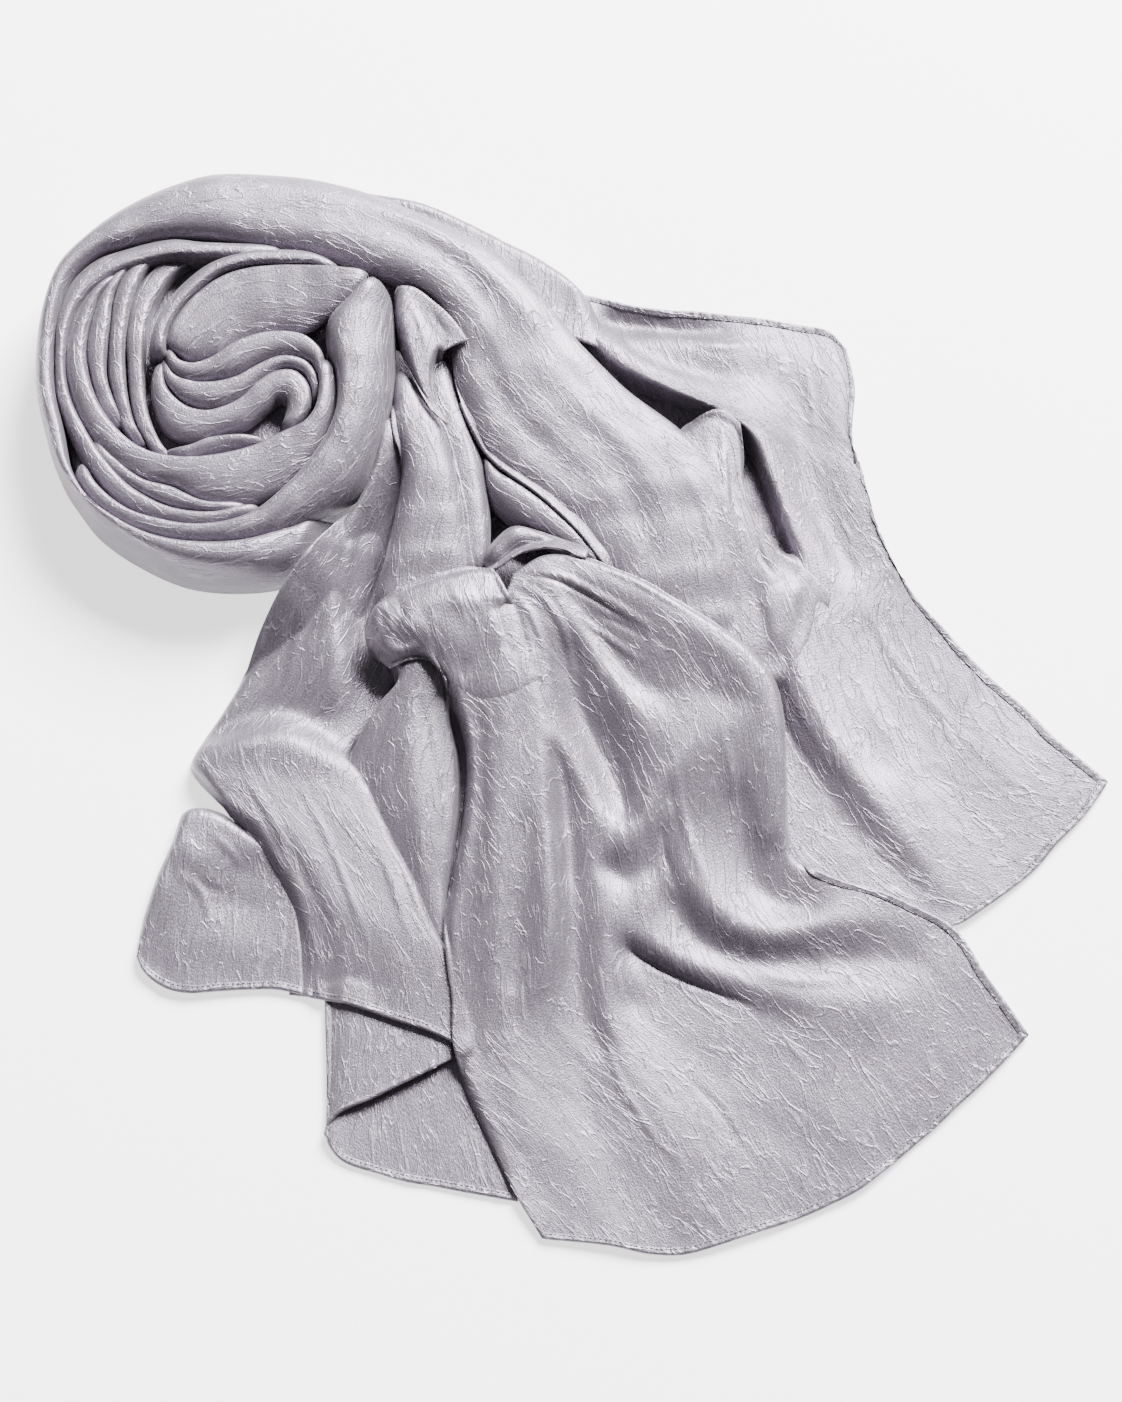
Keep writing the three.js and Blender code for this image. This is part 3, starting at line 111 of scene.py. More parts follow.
# ---- the stretches -----------------------------------------------------------------------------
# A band's rows are its inner and outer edge, the share of its width at which its crest lies, its
# top and, where they differ from "feet", the heights at which its sides end. A panel is four edge
# lines and the lines of heights that its cloth is drawn tight over. "turned" and "sunk" name the
# stretches of a side that turn down and that run into the cloth below.
BANDS = {
  "rosette_wrap": {
    "feet": [FOOT, 0],
    "rows": [
      [-118, 98, -127, 72, 0.3, 14, 4, 0],
      [-137, 90, -146, 62, 0.32, 37],
      [-165, 78, -170, 59, 0.32, 44],
      [-196, 76, -200, 62, 0.32, 45],
      [-221, 81, -229, 76, 0.35, 45],
      [-240, 91, -250, 92, 0.35, 45],
      [-252, 100, -261, 107, 0.35, 45],
      [-262, 117, -271, 123, 0.35, 45],
      [-267, 140, -278, 144, 0.4, 45],
      [-272, 162, -283, 166, 0.45, 45],
      [-273, 186, -284, 191, 0.45, 45],
      [-272, 207, -281, 214, 0.45, 46],
      [-266, 227, -273, 238, 0.45, 46],
      [-252, 241, -258, 256, 0.4, 46],
      [-236, 247, -238, 273, 0.35, 47],
      [-213, 252, -213, 286, 0.38, 48],
      [-192, 252, -192, 293, 0.42, 48],
    ],
  },
  "rosette_ring_1": {
    "feet": [FOOT, FOOT],
    "full": 0.85,
    "rows": [
      [-256, 122, -261, 115, 0.5, 43],
      [-247, 108, -252, 100, 0.5, 43],
      [-231, 95, -237, 88, 0.45, 43],
      [-211, 88, -215, 79, 0.4, 43],
      [-190, 86, -193, 76, 0.4, 43],
      [-166, 92, -163, 78, 0.4, 44],
      [-145, 110, -133, 91, 0.35, 46, FOOT, 20],
      [-129, 131, -109, 107, 0.3, 48, FOOT, LOW_FOOT],
      [-121, 150, -97, 135, 0.3, 50, FOOT, LOW_FOOT],
      [-121, 170, -91, 162, 0.4, 51, FOOT, LOW_FOOT],
      [-126, 187, -90, 188, 0.5, 52, FOOT, LOW_FOOT],
      [-126, 202, -91, 211, 0.6, 52, FOOT, LOW_FOOT],
      [-116, 213, -94, 222, 0.7, 52, FOOT, 10],
      [-107, 221, -101, 229, 0.6, 51, FOOT, 20],
    ],
  },
  "rosette_ring_2": {
    "feet": [FOOT, FOOT],
    "full": 0.8,
    "rows": [
      [-150, 243, -150, 249, 0.3, 40],
      [-172, 242, -172, 249, 0.3, 43],
      [-194, 241, -194, 250, 0.3, 44],
      [-210, 240, -213, 252, 0.35, 44],
      [-227, 236, -237, 246, 0.4, 44],
      [-243, 229, -253, 240, 0.4, 44],
      [-257, 217, -266, 226, 0.5, 44],
      [-265, 203, -272, 206, 0.5, 44],
      [-268, 186, -273, 186, 0.5, 44],
      [-266, 166, -272, 163, 0.5, 43],
      [-261, 152, -267, 146, 0.5, 42],
      [-254, 139, -260, 131, 0.5, 41],
      [-244, 124, -252, 117, 0.5, 41],
      [-229, 108, -236, 99, 0.5, 41],
      [-210, 97, -214, 89, 0.5, 41],
      [-186, 93, -190, 86, 0.5, 41],
      [-162, 98, -161, 93, 0.5, 41],
    ],
  },
  "rosette_ring_3": {
    "feet": [FOOT, FOOT],
    "full": 0.7,
    "rows": [
      [-250, 137, -254, 134, 0.5, 38],
      [-242, 127, -246, 121, 0.5, 40],
      [-224, 112, -230, 108, 0.5, 41],
      [-208, 108, -211, 98, 0.45, 41],
      [-190, 99, -193, 94, 0.45, 41],
      [-168, 99, -167, 94, 0.5, 39],
    ],
  },
  "rosette_ring_4": {
    "feet": [FOOT, FOOT],
    "full": 0.8,
    "rows": [
      [-240, 231, -246, 229, 0.5, 43],
      [-250, 217, -259, 214, 0.5, 44],
      [-254, 203, -265, 203, 0.5, 44],
      [-256, 186, -268, 186, 0.5, 44],
      [-253, 168, -266, 167, 0.5, 44],
      [-246, 152, -259, 147, 0.45, 43],
      [-234, 137, -246, 128, 0.35, 43],
      [-221, 128, -226, 113, 0.25, 43],
      [-203, 124, -207, 108, 0.2, 43],
      [-184, 126, -188, 99, 0.18, 43],
      [-165, 131, -162, 100, 0.16, 43],
      [-148, 139, -141, 114, 0.16, 44],
      [-137, 144, -128, 132, 0.25, 45],
      [-131, 152, -122, 149, 0.3, 46],
      [-129, 165, -121, 167, 0.3, 46],
      [-131, 178, -124, 182, 0.4, 46],
    ],
  },
  "rosette_strip_1": {
    "feet": [FOOT, FOOT],
    "full": 0.6,
    "rows": [
      [-230, 242, -236, 241, 0.5, 37],
      [-236, 233, -243, 231, 0.5, 41],
      [-243, 220, -250, 217, 0.5, 42],
      [-244, 204, -254, 202, 0.5, 43],
      [-245, 188, -256, 186, 0.5, 43],
      [-245, 172, -253, 169, 0.5, 42],
      [-240, 157, -248, 154, 0.5, 40],
      [-234, 145, -240, 141, 0.5, 37],
    ],
  },
  "rosette_strip_2": {
    "feet": [FOOT, FOOT],
    "full": 0.6,
    "rows": [
      [-219, 242, -227, 244, 0.5, 37],
      [-226, 233, -235, 235, 0.5, 41],
      [-232, 220, -241, 220, 0.5, 42],
      [-235, 205, -243, 204, 0.5, 42],
      [-236, 190, -244, 189, 0.5, 42],
      [-235, 173, -244, 173, 0.5, 41],
      [-233, 157, -240, 157, 0.5, 40],
      [-228, 143, -237, 146, 0.5, 38],
      [-222, 133, -230, 134, 0.5, 35],
    ],
  },
  "rosette_strip_3": {
    "feet": [FOOT, FOOT],
    "full": 0.6,
    "rows": [
      [-200, 241, -210, 245, 0.6, 33],
      [-210, 233, -222, 236, 0.6, 37],
      [-220, 217, -231, 221, 0.6, 38],
      [-224, 205, -234, 205, 0.55, 39],
      [-225, 192, -235, 192, 0.55, 40],
      [-225, 177, -234, 178, 0.55, 39],
      [-224, 160, -232, 161, 0.55, 38],
      [-220, 145, -228, 145, 0.55, 37],
      [-214, 133, -221, 133, 0.55, 35],
      [-206, 124, -213, 123, 0.55, 32],
    ],
  },
  "rosette_ring_5": {
    "feet": [FOOT, FOOT],
    "full": 0.75,
    "rows": [
      [-122, 231, -117, 232, 0.5, 47],
      [-134, 234, -136, 242, 0.45, 48],
      [-151, 234, -153, 244, 0.45, 48],
      [-168, 234, -172, 242, 0.45, 48],
      [-184, 229, -190, 236, 0.45, 48],
      [-197, 218, -205, 224, 0.45, 48],
      [-207, 205, -216, 209, 0.45, 48],
      [-213, 192, -221, 194, 0.45, 48],
      [-213, 181, -222, 179, 0.45, 47],
    ],
  },
  "rosette_petal": {
    "feet": [30, 30],
    "full": 0.8,
    "rows": [
      [-214, 188, -209, 184, 0.4, 45],
      [-208, 203, -199, 180, 0.2, 46],
      [-196, 219, -186, 183, 0.15, 46],
      [-180, 230, -172, 191, 0.13, 46],
      [-160, 234, -154, 196, 0.12, 47],
      [-142, 234, -138, 197, 0.13, 48],
      [-125, 232, -123, 206, 0.15, 50, 30, 34],
      [-113, 230, -114, 213, 0.2, 51, 32, 40],
      [-104, 229, -108, 220, 0.4, 51, 36, 44],
    ],
  },
  "rosette_s_1": {
    "feet": [FOOT, FOOT],
    "full": 0.72,
    "rows": [
      [-212, 187, -214, 184, 0.5, 44],
      [-207, 180, -211, 175, 0.45, 44],
      [-199, 177, -202, 168, 0.3, 44],
      [-189, 180, -190, 168, 0.25, 44],
      [-175, 190, -175, 171, 0.22, 45],
      [-162, 195, -163, 178, 0.22, 45],
      [-150, 196, -150, 182, 0.25, 45],
      [-139, 194, -140, 181, 0.28, 45],
      [-130, 186, -134, 177, 0.35, 45],
      [-126, 173, -131, 168, 0.5, 44],
    ],
  },
  "rosette_s_2": {
    "feet": [FOOT, FOOT],
    "full": 0.72,
    "rows": [
      [-214, 182, -217, 178, 0.5, 42],
      [-209, 172, -212, 166, 0.4, 42],
      [-199, 168, -202, 156, 0.3, 42],
      [-186, 168, -187, 153, 0.28, 42],
      [-174, 171, -175, 157, 0.28, 42],
      [-162, 178, -162, 168, 0.35, 42],
      [-150, 182, -149, 176, 0.4, 42],
      [-138, 179, -139, 173, 0.4, 42],
      [-131, 169, -134, 163, 0.5, 42],
      [-130, 159, -134, 155, 0.5, 41],
    ],
  },
  "rosette_curl": {
    "feet": [FOOT, FOOT],
    "full": 0.75,
    "rows": [
      [-214, 180, -221, 178, 0.5, 43],
      [-212, 166, -220, 158, 0.5, 42],
      [-203, 156, -213, 141, 0.3, 41],
      [-191, 152, -199, 134, 0.22, 41],
      [-181, 154, -183, 139, 0.25, 41],
      [-171, 160, -169, 144, 0.28, 41],
      [-163, 168, -159, 152, 0.25, 42],
      [-154, 174, -153, 158, 0.3, 42],
      [-144, 175, -149, 158, 0.35, 42],
      [-136, 168, -148, 155, 0.4, 42],
      [-134, 158, -148, 151, 0.45, 42],
      [-138, 148, -149, 147, 0.45, 42],
      [-146, 139, -151, 143, 0.5, 41],
    ],
  },
  "rosette_lens": {
    "feet": [FOOT, FOOT],
    "rows": [
      [-213, 130, -210, 126, 0.5, 36],
      [-201, 132, -199, 125, 0.4, 38],
      [-188, 137, -187, 127, 0.35, 39],
      [-174, 138, -174, 130, 0.35, 40],
      [-160, 137, -159, 133, 0.5, 39],
    ],
  },
  "ribbon_2": {
    "feet": [LOW_FOOT, LOW_FOOT],
    "full": 0.8,
    "rows": [
      [-82, 186, -61, 189, 0.62, 27],
      [-80, 168, -56, 171, 0.62, 29],
      [-74, 148, -49, 150, 0.62, 30],
      [-68, 126, -42, 128, 0.62, 29],
      [-62, 106, -39, 108, 0.62, 28],
      [-58, 88, -38, 90, 0.62, 27],
      [-56, 64, -40, 64, 0.6, 25],
    ],
  },
  "ribbon_1": {
    "feet": [LOW_FOOT, LOW_FOOT],
    "full": 0.7,
    "over": ["under_tail", "ribbon_2"],
    "rows": [
      [-89, 181, -84, 179, 0.5, 31],
      [-91, 160, -73, 160, 0.45, 35],
      [-91, 144, -62, 145, 0.4, 37],
      [-86, 122, -55, 121, 0.4, 36],
      [-89, 98, -50, 98, 0.4, 34],
      [-94, 74, -48, 78, 0.4, 32],
      [-98, 55, -45, 60, 0.4, 29],
      [-98, 34, -46, 40, 0.4, 26],
    ],
  },
  "under_roll": {
    "feet": [LOW_FOOT, LOW_FOOT],
    "over": ["second_fold"],
    "rows": [
      [-42, 134, -41, 124, 0.4, 26],
      [-35, 126, -38, 106, 0.35, 28],
      [-23, 119, -29, 96, 0.35, 28],
      [-8, 107, -15, 87, 0.35, 28],
      [6, 94, 0, 77, 0.35, 26],
      [18, 80, 14, 69, 0.4, 24],
      [28, 66, 25, 60, 0.5, 20],
    ],
  },
  "main_band": {
    "feet": [LOW_FOOT, LOW_FOOT],
    "full": 0.72,
    "over": ["right_end", "second_fold", "behind", "ribbon_2", "under_roll"],
    "rows": [
      [-192, 252, -192, 293, 0.42, 48, FOOT, 0],
      [-165, 248, -163, 294, 0.42, 47, FOOT, 0],
      [-137, 244, -133, 290, 0.42, 46, FOOT, 8],
      [-112, 235, -103, 281, 0.42, 45, 20, 14],
      [-88, 227, -72, 267, 0.45, 44, 20, 18],
      [-70, 216, -40, 249, 0.45, 43, 20, 20],
      [-60, 196, -13, 224, 0.5, 40, 18, 20],
      [-58, 172, 12, 193, 0.5, 37, 14, 18],
      [-50, 148, 38, 167, 0.5, 34, 12, 14],
      [-37, 127, 66, 145, 0.52, 32, 12, 12],
      [-12, 107, 85, 122, 0.55, 30, 14, 10],
      [8, 88, 92, 98, 0.55, 27, 12, 8],
      [28, 62, 95, 72, 0.55, 25, 10, 8],
      [46, 42, 97, 46, 0.5, 21, 6, 6],
      [56, 24, 99, 20, 0.5, 15, 4, 4],
    ],
  },
  "small_petal": {
    "feet": [LOW_FOOT, LOW_FOOT],
    "over": ["under_roll", "front_end"],
    "rows": [
      [-43, 71, -37, 62, 0.5, 27],
      [-37, 82, -29, 68, 0.45, 31],
      [-26, 91, -20, 73, 0.4, 33],
      [-13, 88, -9, 74, 0.4, 31],
      [2, 81, 2, 72, 0.45, 28],
      [15, 74, 13, 66, 0.5, 25],
    ],
  },
}

PANELS = {
  "right_end": {
    "over": [],
    "top": [[-8, 228], [11, 229], [50, 222], [93, 218], [130, 213], [147, 209], [156, 199]],
    "right": [[156, 199], [160, 175], [158, 146], [164, 120], [172, 91], [190, 58], [209, 35],
        [228, 13], [247, -5], [268, -27], [290, -46]],
    "bottom": [[195, -120], [205, -125], [224, -114], [246, -97], [262, -80], [278, -63],
        [290, -46]],
    "left": [[-8, 228], [8, 205], [25, 186], [50, 173], [80, 161], [98, 148], [108, 124], [117, 98],
        [124, 78], [118, 60], [102, 46], [96, 16], [98, -30], [108, -74], [140, -108],
        [195, -120]],
    "turned": { "left": [0, 0.45] },
    "round": 7,
    "relief": [
      [[-4, 226, 17], [15, 205, 20], [32, 193, 22], [52, 182, 22], [75, 171, 21], [92, 162, 21],
          [106, 148, 20], [115, 126, 18], [122, 104, 16], [131, 88, 13], [140, 74, 11],
          [146, 56, 9], [151, 38, 7.5], [158, 20, 6]],
      [[12, 227, 12], [40, 222, 12], [80, 215, 11], [110, 212, 10], [140, 207, 9], [152, 199, 9]],
      [[24, 215, 5], [45, 212, 5], [70, 209, 6], [88, 208, 8]],
      [[38, 196, 15], [55, 187, 14], [78, 181, 13], [100, 179, 12.5], [118, 182, 12]],
      [[45, 205, 13], [70, 200, 15], [95, 197, 15], [118, 196, 13]],
      [[146, 196, 11], [150, 175, 12], [150, 155, 12], [152, 135, 10], [160, 110, 8], [170, 82, 5],
          [184, 58, 3], [204, 32, 2.5]],
      [[122, 178, 10], [127, 160, 9], [130, 140, 8], [136, 118, 7], [146, 92, 5], [156, 70, 4]],
      [[104, 84, 18], [110, 64, 17], [116, 42, 16], [122, 20, 15], [132, -6, 14], [145, -30, 13],
          [159, -50, 11], [175, -72, 8.5], [190, -92, 6], [203, -110, 3]],
      [[122, 78, 14], [129, 62, 13], [134, 40, 11.5], [142, 12, 9], [156, -16, 7], [172, -42, 5]],
      [[103, 46, 3], [106, 18, 3], [114, -8, 3], [127, -33, 3], [142, -54, 3], [157, -73, 3],
          [173, -92, 2.5], [188, -108, 2]],
      [[164, 40, 3.5], [174, 0, 3.5], [194, -35, 3.5], [218, -70, 2.5], [236, -96, 1.5]],
      [[222, -10, 2.5], [240, -45, 3], [258, -66, 1.5]],
      [[228, 13, 1.5], [247, -5, 0.5], [268, -27, 1.5], [290, -46, 0.5]],
      [[195, -120, 1], [224, -114, 2], [246, -97, 0.5], [262, -80, 1.5], [290, -46, 0.5]],
    ],
  },
  "second_fold": {
    "over": ["right_end"],
    "top": [[58, 142], [66, 150], [76, 156], [87, 158], [97, 150]],
    "right": [[97, 150], [99, 134], [98, 116], [103, 101], [114, 89], [128, 82], [146, 66]],
    "bottom": [[84, 0], [104, -6], [124, 2], [138, 24], [146, 66]],
    "left": [[58, 142], [70, 124], [78, 100], [82, 64], [84, 0]],
    "turned": { "top": [0, 1], "right": [0, 0.6] },
    "sunk": { "bottom": [14, 0, 1], "right": [9, 0.7, 1] },
    "round": 6,
    "relief": [
      [[66, 144, 20], [78, 150, 22], [90, 146, 22], [93, 128, 21], [92, 112, 20.5], [98, 98, 19.5],
          [108, 87, 18], [120, 78, 15.5], [132, 66, 12.5]],
      [[78, 128, 24], [86, 104, 24], [91, 82, 21], [94, 60, 18], [97, 36, 15], [98, 12, 13]],
      [[104, 84, 18.5], [110, 64, 17.5], [116, 42, 16.5], [121, 22, 15.5]],
      [[104, 56, 15], [108, 34, 14], [112, 14, 13]],
      [[90, 4, 12], [104, 0, 13], [120, 6, 14], [132, 26, 11], [138, 46, 9.5], [142, 64, 9]],
      [[126, 60, 13.5], [126, 40, 13]],
    ],
  },
  "behind": {
    "over": ["right_end", "second_fold"],
    "top": [[-152, 292], [-133, 292], [-100, 286], [-67, 278], [-33, 261], [0, 242], [20, 220]],
    "right": [[20, 220], [28, 205], [34, 190]],
    "bottom": [[-152, 276], [-110, 268], [-72, 255], [-40, 232], [-5, 205], [34, 190]],
    "left": [[-152, 292], [-152, 276]],
    "turned": { "top": [0, 0.9] },
    "sunk": { "right": [22, 0, 1] },
    "round": 8,
    "relief": [
      [[-152, 284, 30], [-100, 277, 30], [-60, 265, 28], [-25, 240, 26], [5, 216, 23],
          [28, 198, 22]],
    ],
  },
  "left_flap": {
    "over": [],
    "top": [[-200, -64], [-192, -61], [-180, -64], [-166, -74], [-152, -84]],
    "right": [[-152, -84], [-143, -105], [-137, -130], [-135, -150], [-134, -162]],
    "bottom": [[-222, -142], [-218, -150], [-208, -158], [-195, -161], [-180, -160], [-165, -159],
        [-150, -159], [-134, -162]],
    "left": [[-200, -64], [-205, -80], [-212, -97], [-217, -115], [-220, -130], [-222, -142]],
    "turned": { "top": [0, 1], "left": [0, 0.85] },
    "round": 6,
    "relief": [
      [[-197, -70, 10], [-186, -68, 10], [-172, -76, 9], [-160, -86, 8]],
      [[-203, -84, 11], [-191, -90, 10.5], [-174, -94, 5.5], [-154, -98, 3.5]],
      [[-209, -104, 9.5], [-213, -122, 6]],
      [[-194, -108, 6], [-176, -112, 2.5], [-152, -118, 2]],
      [[-206, -128, 4], [-188, -134, 4], [-168, -136, 3], [-142, -138, 2]],
      [[-220, -142, 2], [-208, -152, 1.5], [-190, -156, 2.5], [-165, -155, 1], [-136, -158, 1]],
    ],
  },
  "under_tail": {
    "over": ["rosette_wrap", "left_flap", "hem_fold"],
    "top": [[-99, 146], [-92, 150], [-84, 148]],
    "right": [[-84, 148], [-80, 120], [-82, 95], [-86, 60], [-84, 24], [-88, 6], [-98, -12],
        [-112, -33], [-103, -47], [-94, -65], [-85, -85], [-75, -105], [-67, -125], [-58, -142],
        [-53, -165], [-51, -191]],
    "bottom": [[-142, -161], [-135, -162], [-120, -166], [-100, -172], [-80, -179], [-68, -183],
        [-51, -191]],
    "left": [[-99, 146], [-103, 124], [-110, 106], [-120, 92], [-131, 78], [-142, 63], [-150, 51],
        [-160, 33], [-170, 10], [-180, -8], [-191, -26], [-196, -38], [-190, -48], [-182, -58],
        [-172, -70], [-163, -84], [-155, -97], [-148, -112], [-143, -128], [-141, -145],
        [-142, -161]],
    "turned": { "left": [0, 0.72], "right": [0.42, 0.84] },
    "sunk": { "left": [13, 0.78, 1] },
    "round": 6,
    "relief": [
      [[-92, 144, 34], [-98, 124, 32], [-105, 106, 30], [-114, 88, 27], [-120, 68, 23.5],
          [-122, 50, 20.5], [-121, 32, 18], [-119, 14, 15], [-120, -4, 11]],
      [[-88, 126, 25], [-94, 108, 17], [-101, 90, 10], [-108, 72, 6], [-109, 52, 4], [-106, 32, 4],
          [-104, 14, 4.5], [-107, -4, 5], [-113, -20, 5]],
      [[-86, 100, 12], [-88, 70, 6], [-88, 40, 5], [-92, 10, 5], [-102, -12, 5]],
      [[-112, 103, 26], [-122, 89, 22.5], [-135, 71, 17], [-147, 48, 12], [-158, 24, 9],
          [-170, 0, 7.5], [-182, -18, 5]],
      [[-136, 46, 15], [-143, 22, 12], [-150, 0, 8]],
      [[-186, -23, 4], [-172, -15, 4.5], [-158, -10, 5], [-146, -9, 5.5], [-134, -13, 6],
          [-124, -21, 6.5], [-115, -30, 6.5]],
      [[-191, -38, 14], [-178, -32, 17], [-163, -27, 18.5], [-148, -26, 19], [-136, -30, 18.5],
          [-126, -36, 17.5], [-117, -41, 16]],
      [[-184, -48, 15], [-174, -60, 14], [-164, -74, 13], [-155, -90, 11], [-148, -105, 8.5],
          [-142, -122, 5.5], [-138, -140, 3], [-137, -158, 1.5]],
      [[-152, -50, 16], [-140, -75, 14.5], [-126, -101, 12.5], [-112, -130, 9.5], [-99, -160, 5.5]],
      [[-124, -60, 14.5], [-111, -84, 13], [-98, -111, 12], [-87, -139, 10], [-77, -170, 7.5]],
      [[-110, -50, 14], [-100, -68, 13.5], [-91, -87, 13], [-81, -108, 12.5], [-72, -128, 11.5],
          [-65, -148, 10], [-61, -170, 7.5], [-59, -184, 6.5]],
      [[-140, -160, 1.5], [-120, -165, 2.5], [-100, -171, 5], [-80, -178, 7], [-60, -188, 6.5]],
    ],
  },
  "leaf": {
    "over": [],
    "top": [[-90, 14], [-84, 20], [-74, 20], [-66, 14], [-61, 2]],
    "right": [[-61, 2], [-59, -15], [-54, -35], [-53, -60], [-57, -90], [-60, -118], [-58, -160]],
    "bottom": [[-66, -160], [-62, -161], [-58, -160]],
    "left": [[-90, 14], [-88, 2], [-99, -10], [-109, -26], [-116, -44], [-110, -66], [-98, -90],
        [-84, -118], [-66, -160]],
    "turned": { "left": [0, 0.3], "right": [0, 1] },
    "round": 5,
    "relief": [
      [[-76, 16, 25], [-80, 0, 22], [-81, -25, 20], [-76, -52, 18], [-72, -82, 15],
          [-69, -108, 10.5],
          [-65, -130, 7], [-62, -154, 2]],
      [[-90, 4, 21], [-99, -12, 18], [-105, -26, 14], [-108, -42, 9.5], [-103, -62, 8],
          [-92, -90, 6], [-79, -120, 3.5], [-67, -152, 1.5]],
      [[-86, -6, 18], [-93, -20, 16], [-98, -36, 14], [-98, -52, 13], [-93, -72, 11.5]],
      [[-66, 6, 21], [-62, -14, 16], [-58, -40, 13], [-60, -75, 11], [-65, -110, 9]],
    ],
  },
  "front_end": {
    "over": ["main_band", "right_end", "second_fold", "under_roll", "under_tail", "leaf",
        "hem_fold"],
    "top": [[-60, 4], [-48, 18], [-36, 36], [-28, 52], [-24, 64]],
    "right": [[-24, 64], [-8, 74], [10, 73], [27, 67], [45, 59], [60, 50], [80, 38], [100, 23],
        [113, 6], [118, -15], [119, -45], [120, -78], [126, -92], [145, -103], [165, -108],
            [185, -116],
        [205, -127], [220, -150], [232, -167], [243, -184]],
    "bottom": [[-10, -290], [5, -292], [25, -294], [45, -298], [65, -298], [95, -289], [125, -279],
        [155, -264], [185, -240], [215, -212], [243, -184]],
    "left": [[-60, 4], [-56, -12], [-51, -30], [-50, -50], [-52, -75], [-57, -100], [-61, -125],
        [-60, -145], [-57, -165], [-56, -190], [-50, -210], [-42, -228], [-33, -248], [-24, -267],
        [-10, -290]],
    "turned": { "left": [0, 0.85], "right": [0, 0.60] },
    "round": 6,
    "relief": [
      [[-34, 36, 36], [-33, 10, 33], [-32, -20, 30], [-33, -60, 27], [-34, -100, 23],
          [-34, -140, 17],
          [-30, -175, 11], [-22, -215, 7], [-10, -258, 3], [-4, -285, 1.5]],
      [[-45, -16, 25], [-42, -50, 23], [-45, -85, 20], [-50, -115, 16], [-51, -145, 12],
          [-49, -175, 9], [-42, -210, 6], [-26, -255, 3]],
      [[-20, -76, 23], [-20, -108, 19], [-21, -138, 14], [-26, -162, 10]],
      [[-16, 14, 32], [-10, -18, 30], [-7, -48, 28], [-6, -80, 26], [-5, -110, 24], [-6, -138, 20],
          [-11, -157, 15], [-22, -174, 10]],
      [[-3, -36, 19], [1, -60, 14], [3, -90, 11], [5, -118, 10], [7, -148, 6], [13, -175, 4],
          [23, -193, 3]],
      [[-10, 58, 36], [4, 42, 33.5], [14, 27, 31], [25, 10, 28], [35, -8, 26], [45, -25, 23],
          [49, -38, 21]],
      [[3, 49, 31], [12, 35, 27], [22, 21, 23.5], [32, 9, 21.5], [43, 0, 21], [56, -6, 21]],
      [[2, 20, 23], [6, 0, 16.5], [14, -20, 12], [24, -38, 9], [31, -55, 8.5], [34, -68, 9.5]],
      [[-7, -26, 29], [4, -40, 24.5], [14, -57, 20.5], [24, -75, 18], [33, -87, 16.5]],
      [[33, -87, 16.5], [42, -70, 19.5], [50, -52, 22], [62, -39, 24], [76, -29, 25], [92, -18, 26],
          [104, -10, 26.5]],
      [[22, -95, 10], [36, -103, 8.5], [50, -92, 9.5], [60, -74, 13]],
      [[8, 62, 35], [34, 51, 34], [60, 38, 33], [82, 23, 32], [98, 7, 30], [106, -12, 28],
          [108, -35, 25], [109, -60, 21], [110, -80, 17]],
      [[60, 6, 24.5], [76, -2, 24], [90, -8, 24.5]],
      [[58, -60, 18], [62, -85, 16], [70, -106, 15.5], [82, -121, 15.5], [96, -130, 15],
          [112, -132, 14], [130, -128, 13.5], [150, -125, 12], [172, -124, 9], [190, -128, 6]],
      [[92, -60, 15], [97, -85, 10], [103, -105, 7], [114, -115, 7], [130, -117, 8]],
      [[118, -86, 12], [130, -99, 12], [148, -107, 11.5], [168, -113, 10], [188, -121, 7],
          [202, -129, 4]],
      [[58, -114, 6.5], [72, -133, 5], [98, -145, 5], [130, -145, 5], [160, -143, 5],
          [186, -145, 4]],
      [[34, -131, 10], [45, -138, 10.5], [60, -146, 10.5], [75, -152, 9.5], [90, -157, 8.5],
          [108, -162, 8], [135, -166, 8], [165, -166, 7], [188, -162, 5]],
      [[35, -137, 1.8], [46, -145, 2], [60, -153, 2.2], [76, -160, 2.6], [94, -168, 3.2],
          [116, -177, 4]],
      [[10, -62, 18], [16, -84, 17], [20, -105, 15.5], [22, -122, 14], [24, -140, 12],
          [23, -160, 10], [25, -180, 8], [34, -202, 6], [50, -226, 5], [74, -250, 4],
          [98, -270, 2.5]],
      [[40, -100, 12], [46, -118, 11]],
      [[36, -165, 2.5], [60, -190, 2.5], [90, -215, 2.5], [120, -245, 2]],
      [[8, -200, 3], [16, -228, 2.5], [30, -258, 2]],
      [[150, -190, 4.5], [178, -205, 3.5], [205, -214, 1.5]],
      [[110, -200, 3.5], [140, -230, 4.5], [160, -254, 2]],
      [[206, -150, 5], [222, -170, 3], [236, -182, 1]],
      [[-9, -289, 0.5], [25, -293, 2.5], [60, -297, 0.5], [95, -288, 2], [125, -278, 0.5],
          [155, -263, 2], [185, -239, 0.5], [215, -211, 1.5], [243, -184, 0.5]],
    ],
  },
  "collar_petal": {
    "over": ["ribbon_1", "ribbon_2"],
    "top": [[-92, 224], [-80, 223], [-68, 214], [-58, 204], [-50, 192]],
    "right": [[-50, 192], [-58, 189], [-65, 184], [-69, 175], [-69, 163], [-66, 154], [-61, 144]],
    "bottom": [[-70, 152], [-66, 148], [-61, 144]],
    "left": [[-92, 224], [-91, 205], [-87, 190], [-81, 173], [-75, 161], [-70, 152]],
    "turned": { "left": [0, 1], "right": [0.3, 1] },
    "round": 5,
    "relief": [
      [[-86, 216, 39], [-78, 200, 39], [-74, 184, 38], [-73, 170, 37], [-68, 154, 34]],
      [[-72, 210, 38], [-62, 200, 38], [-54, 193, 37]],
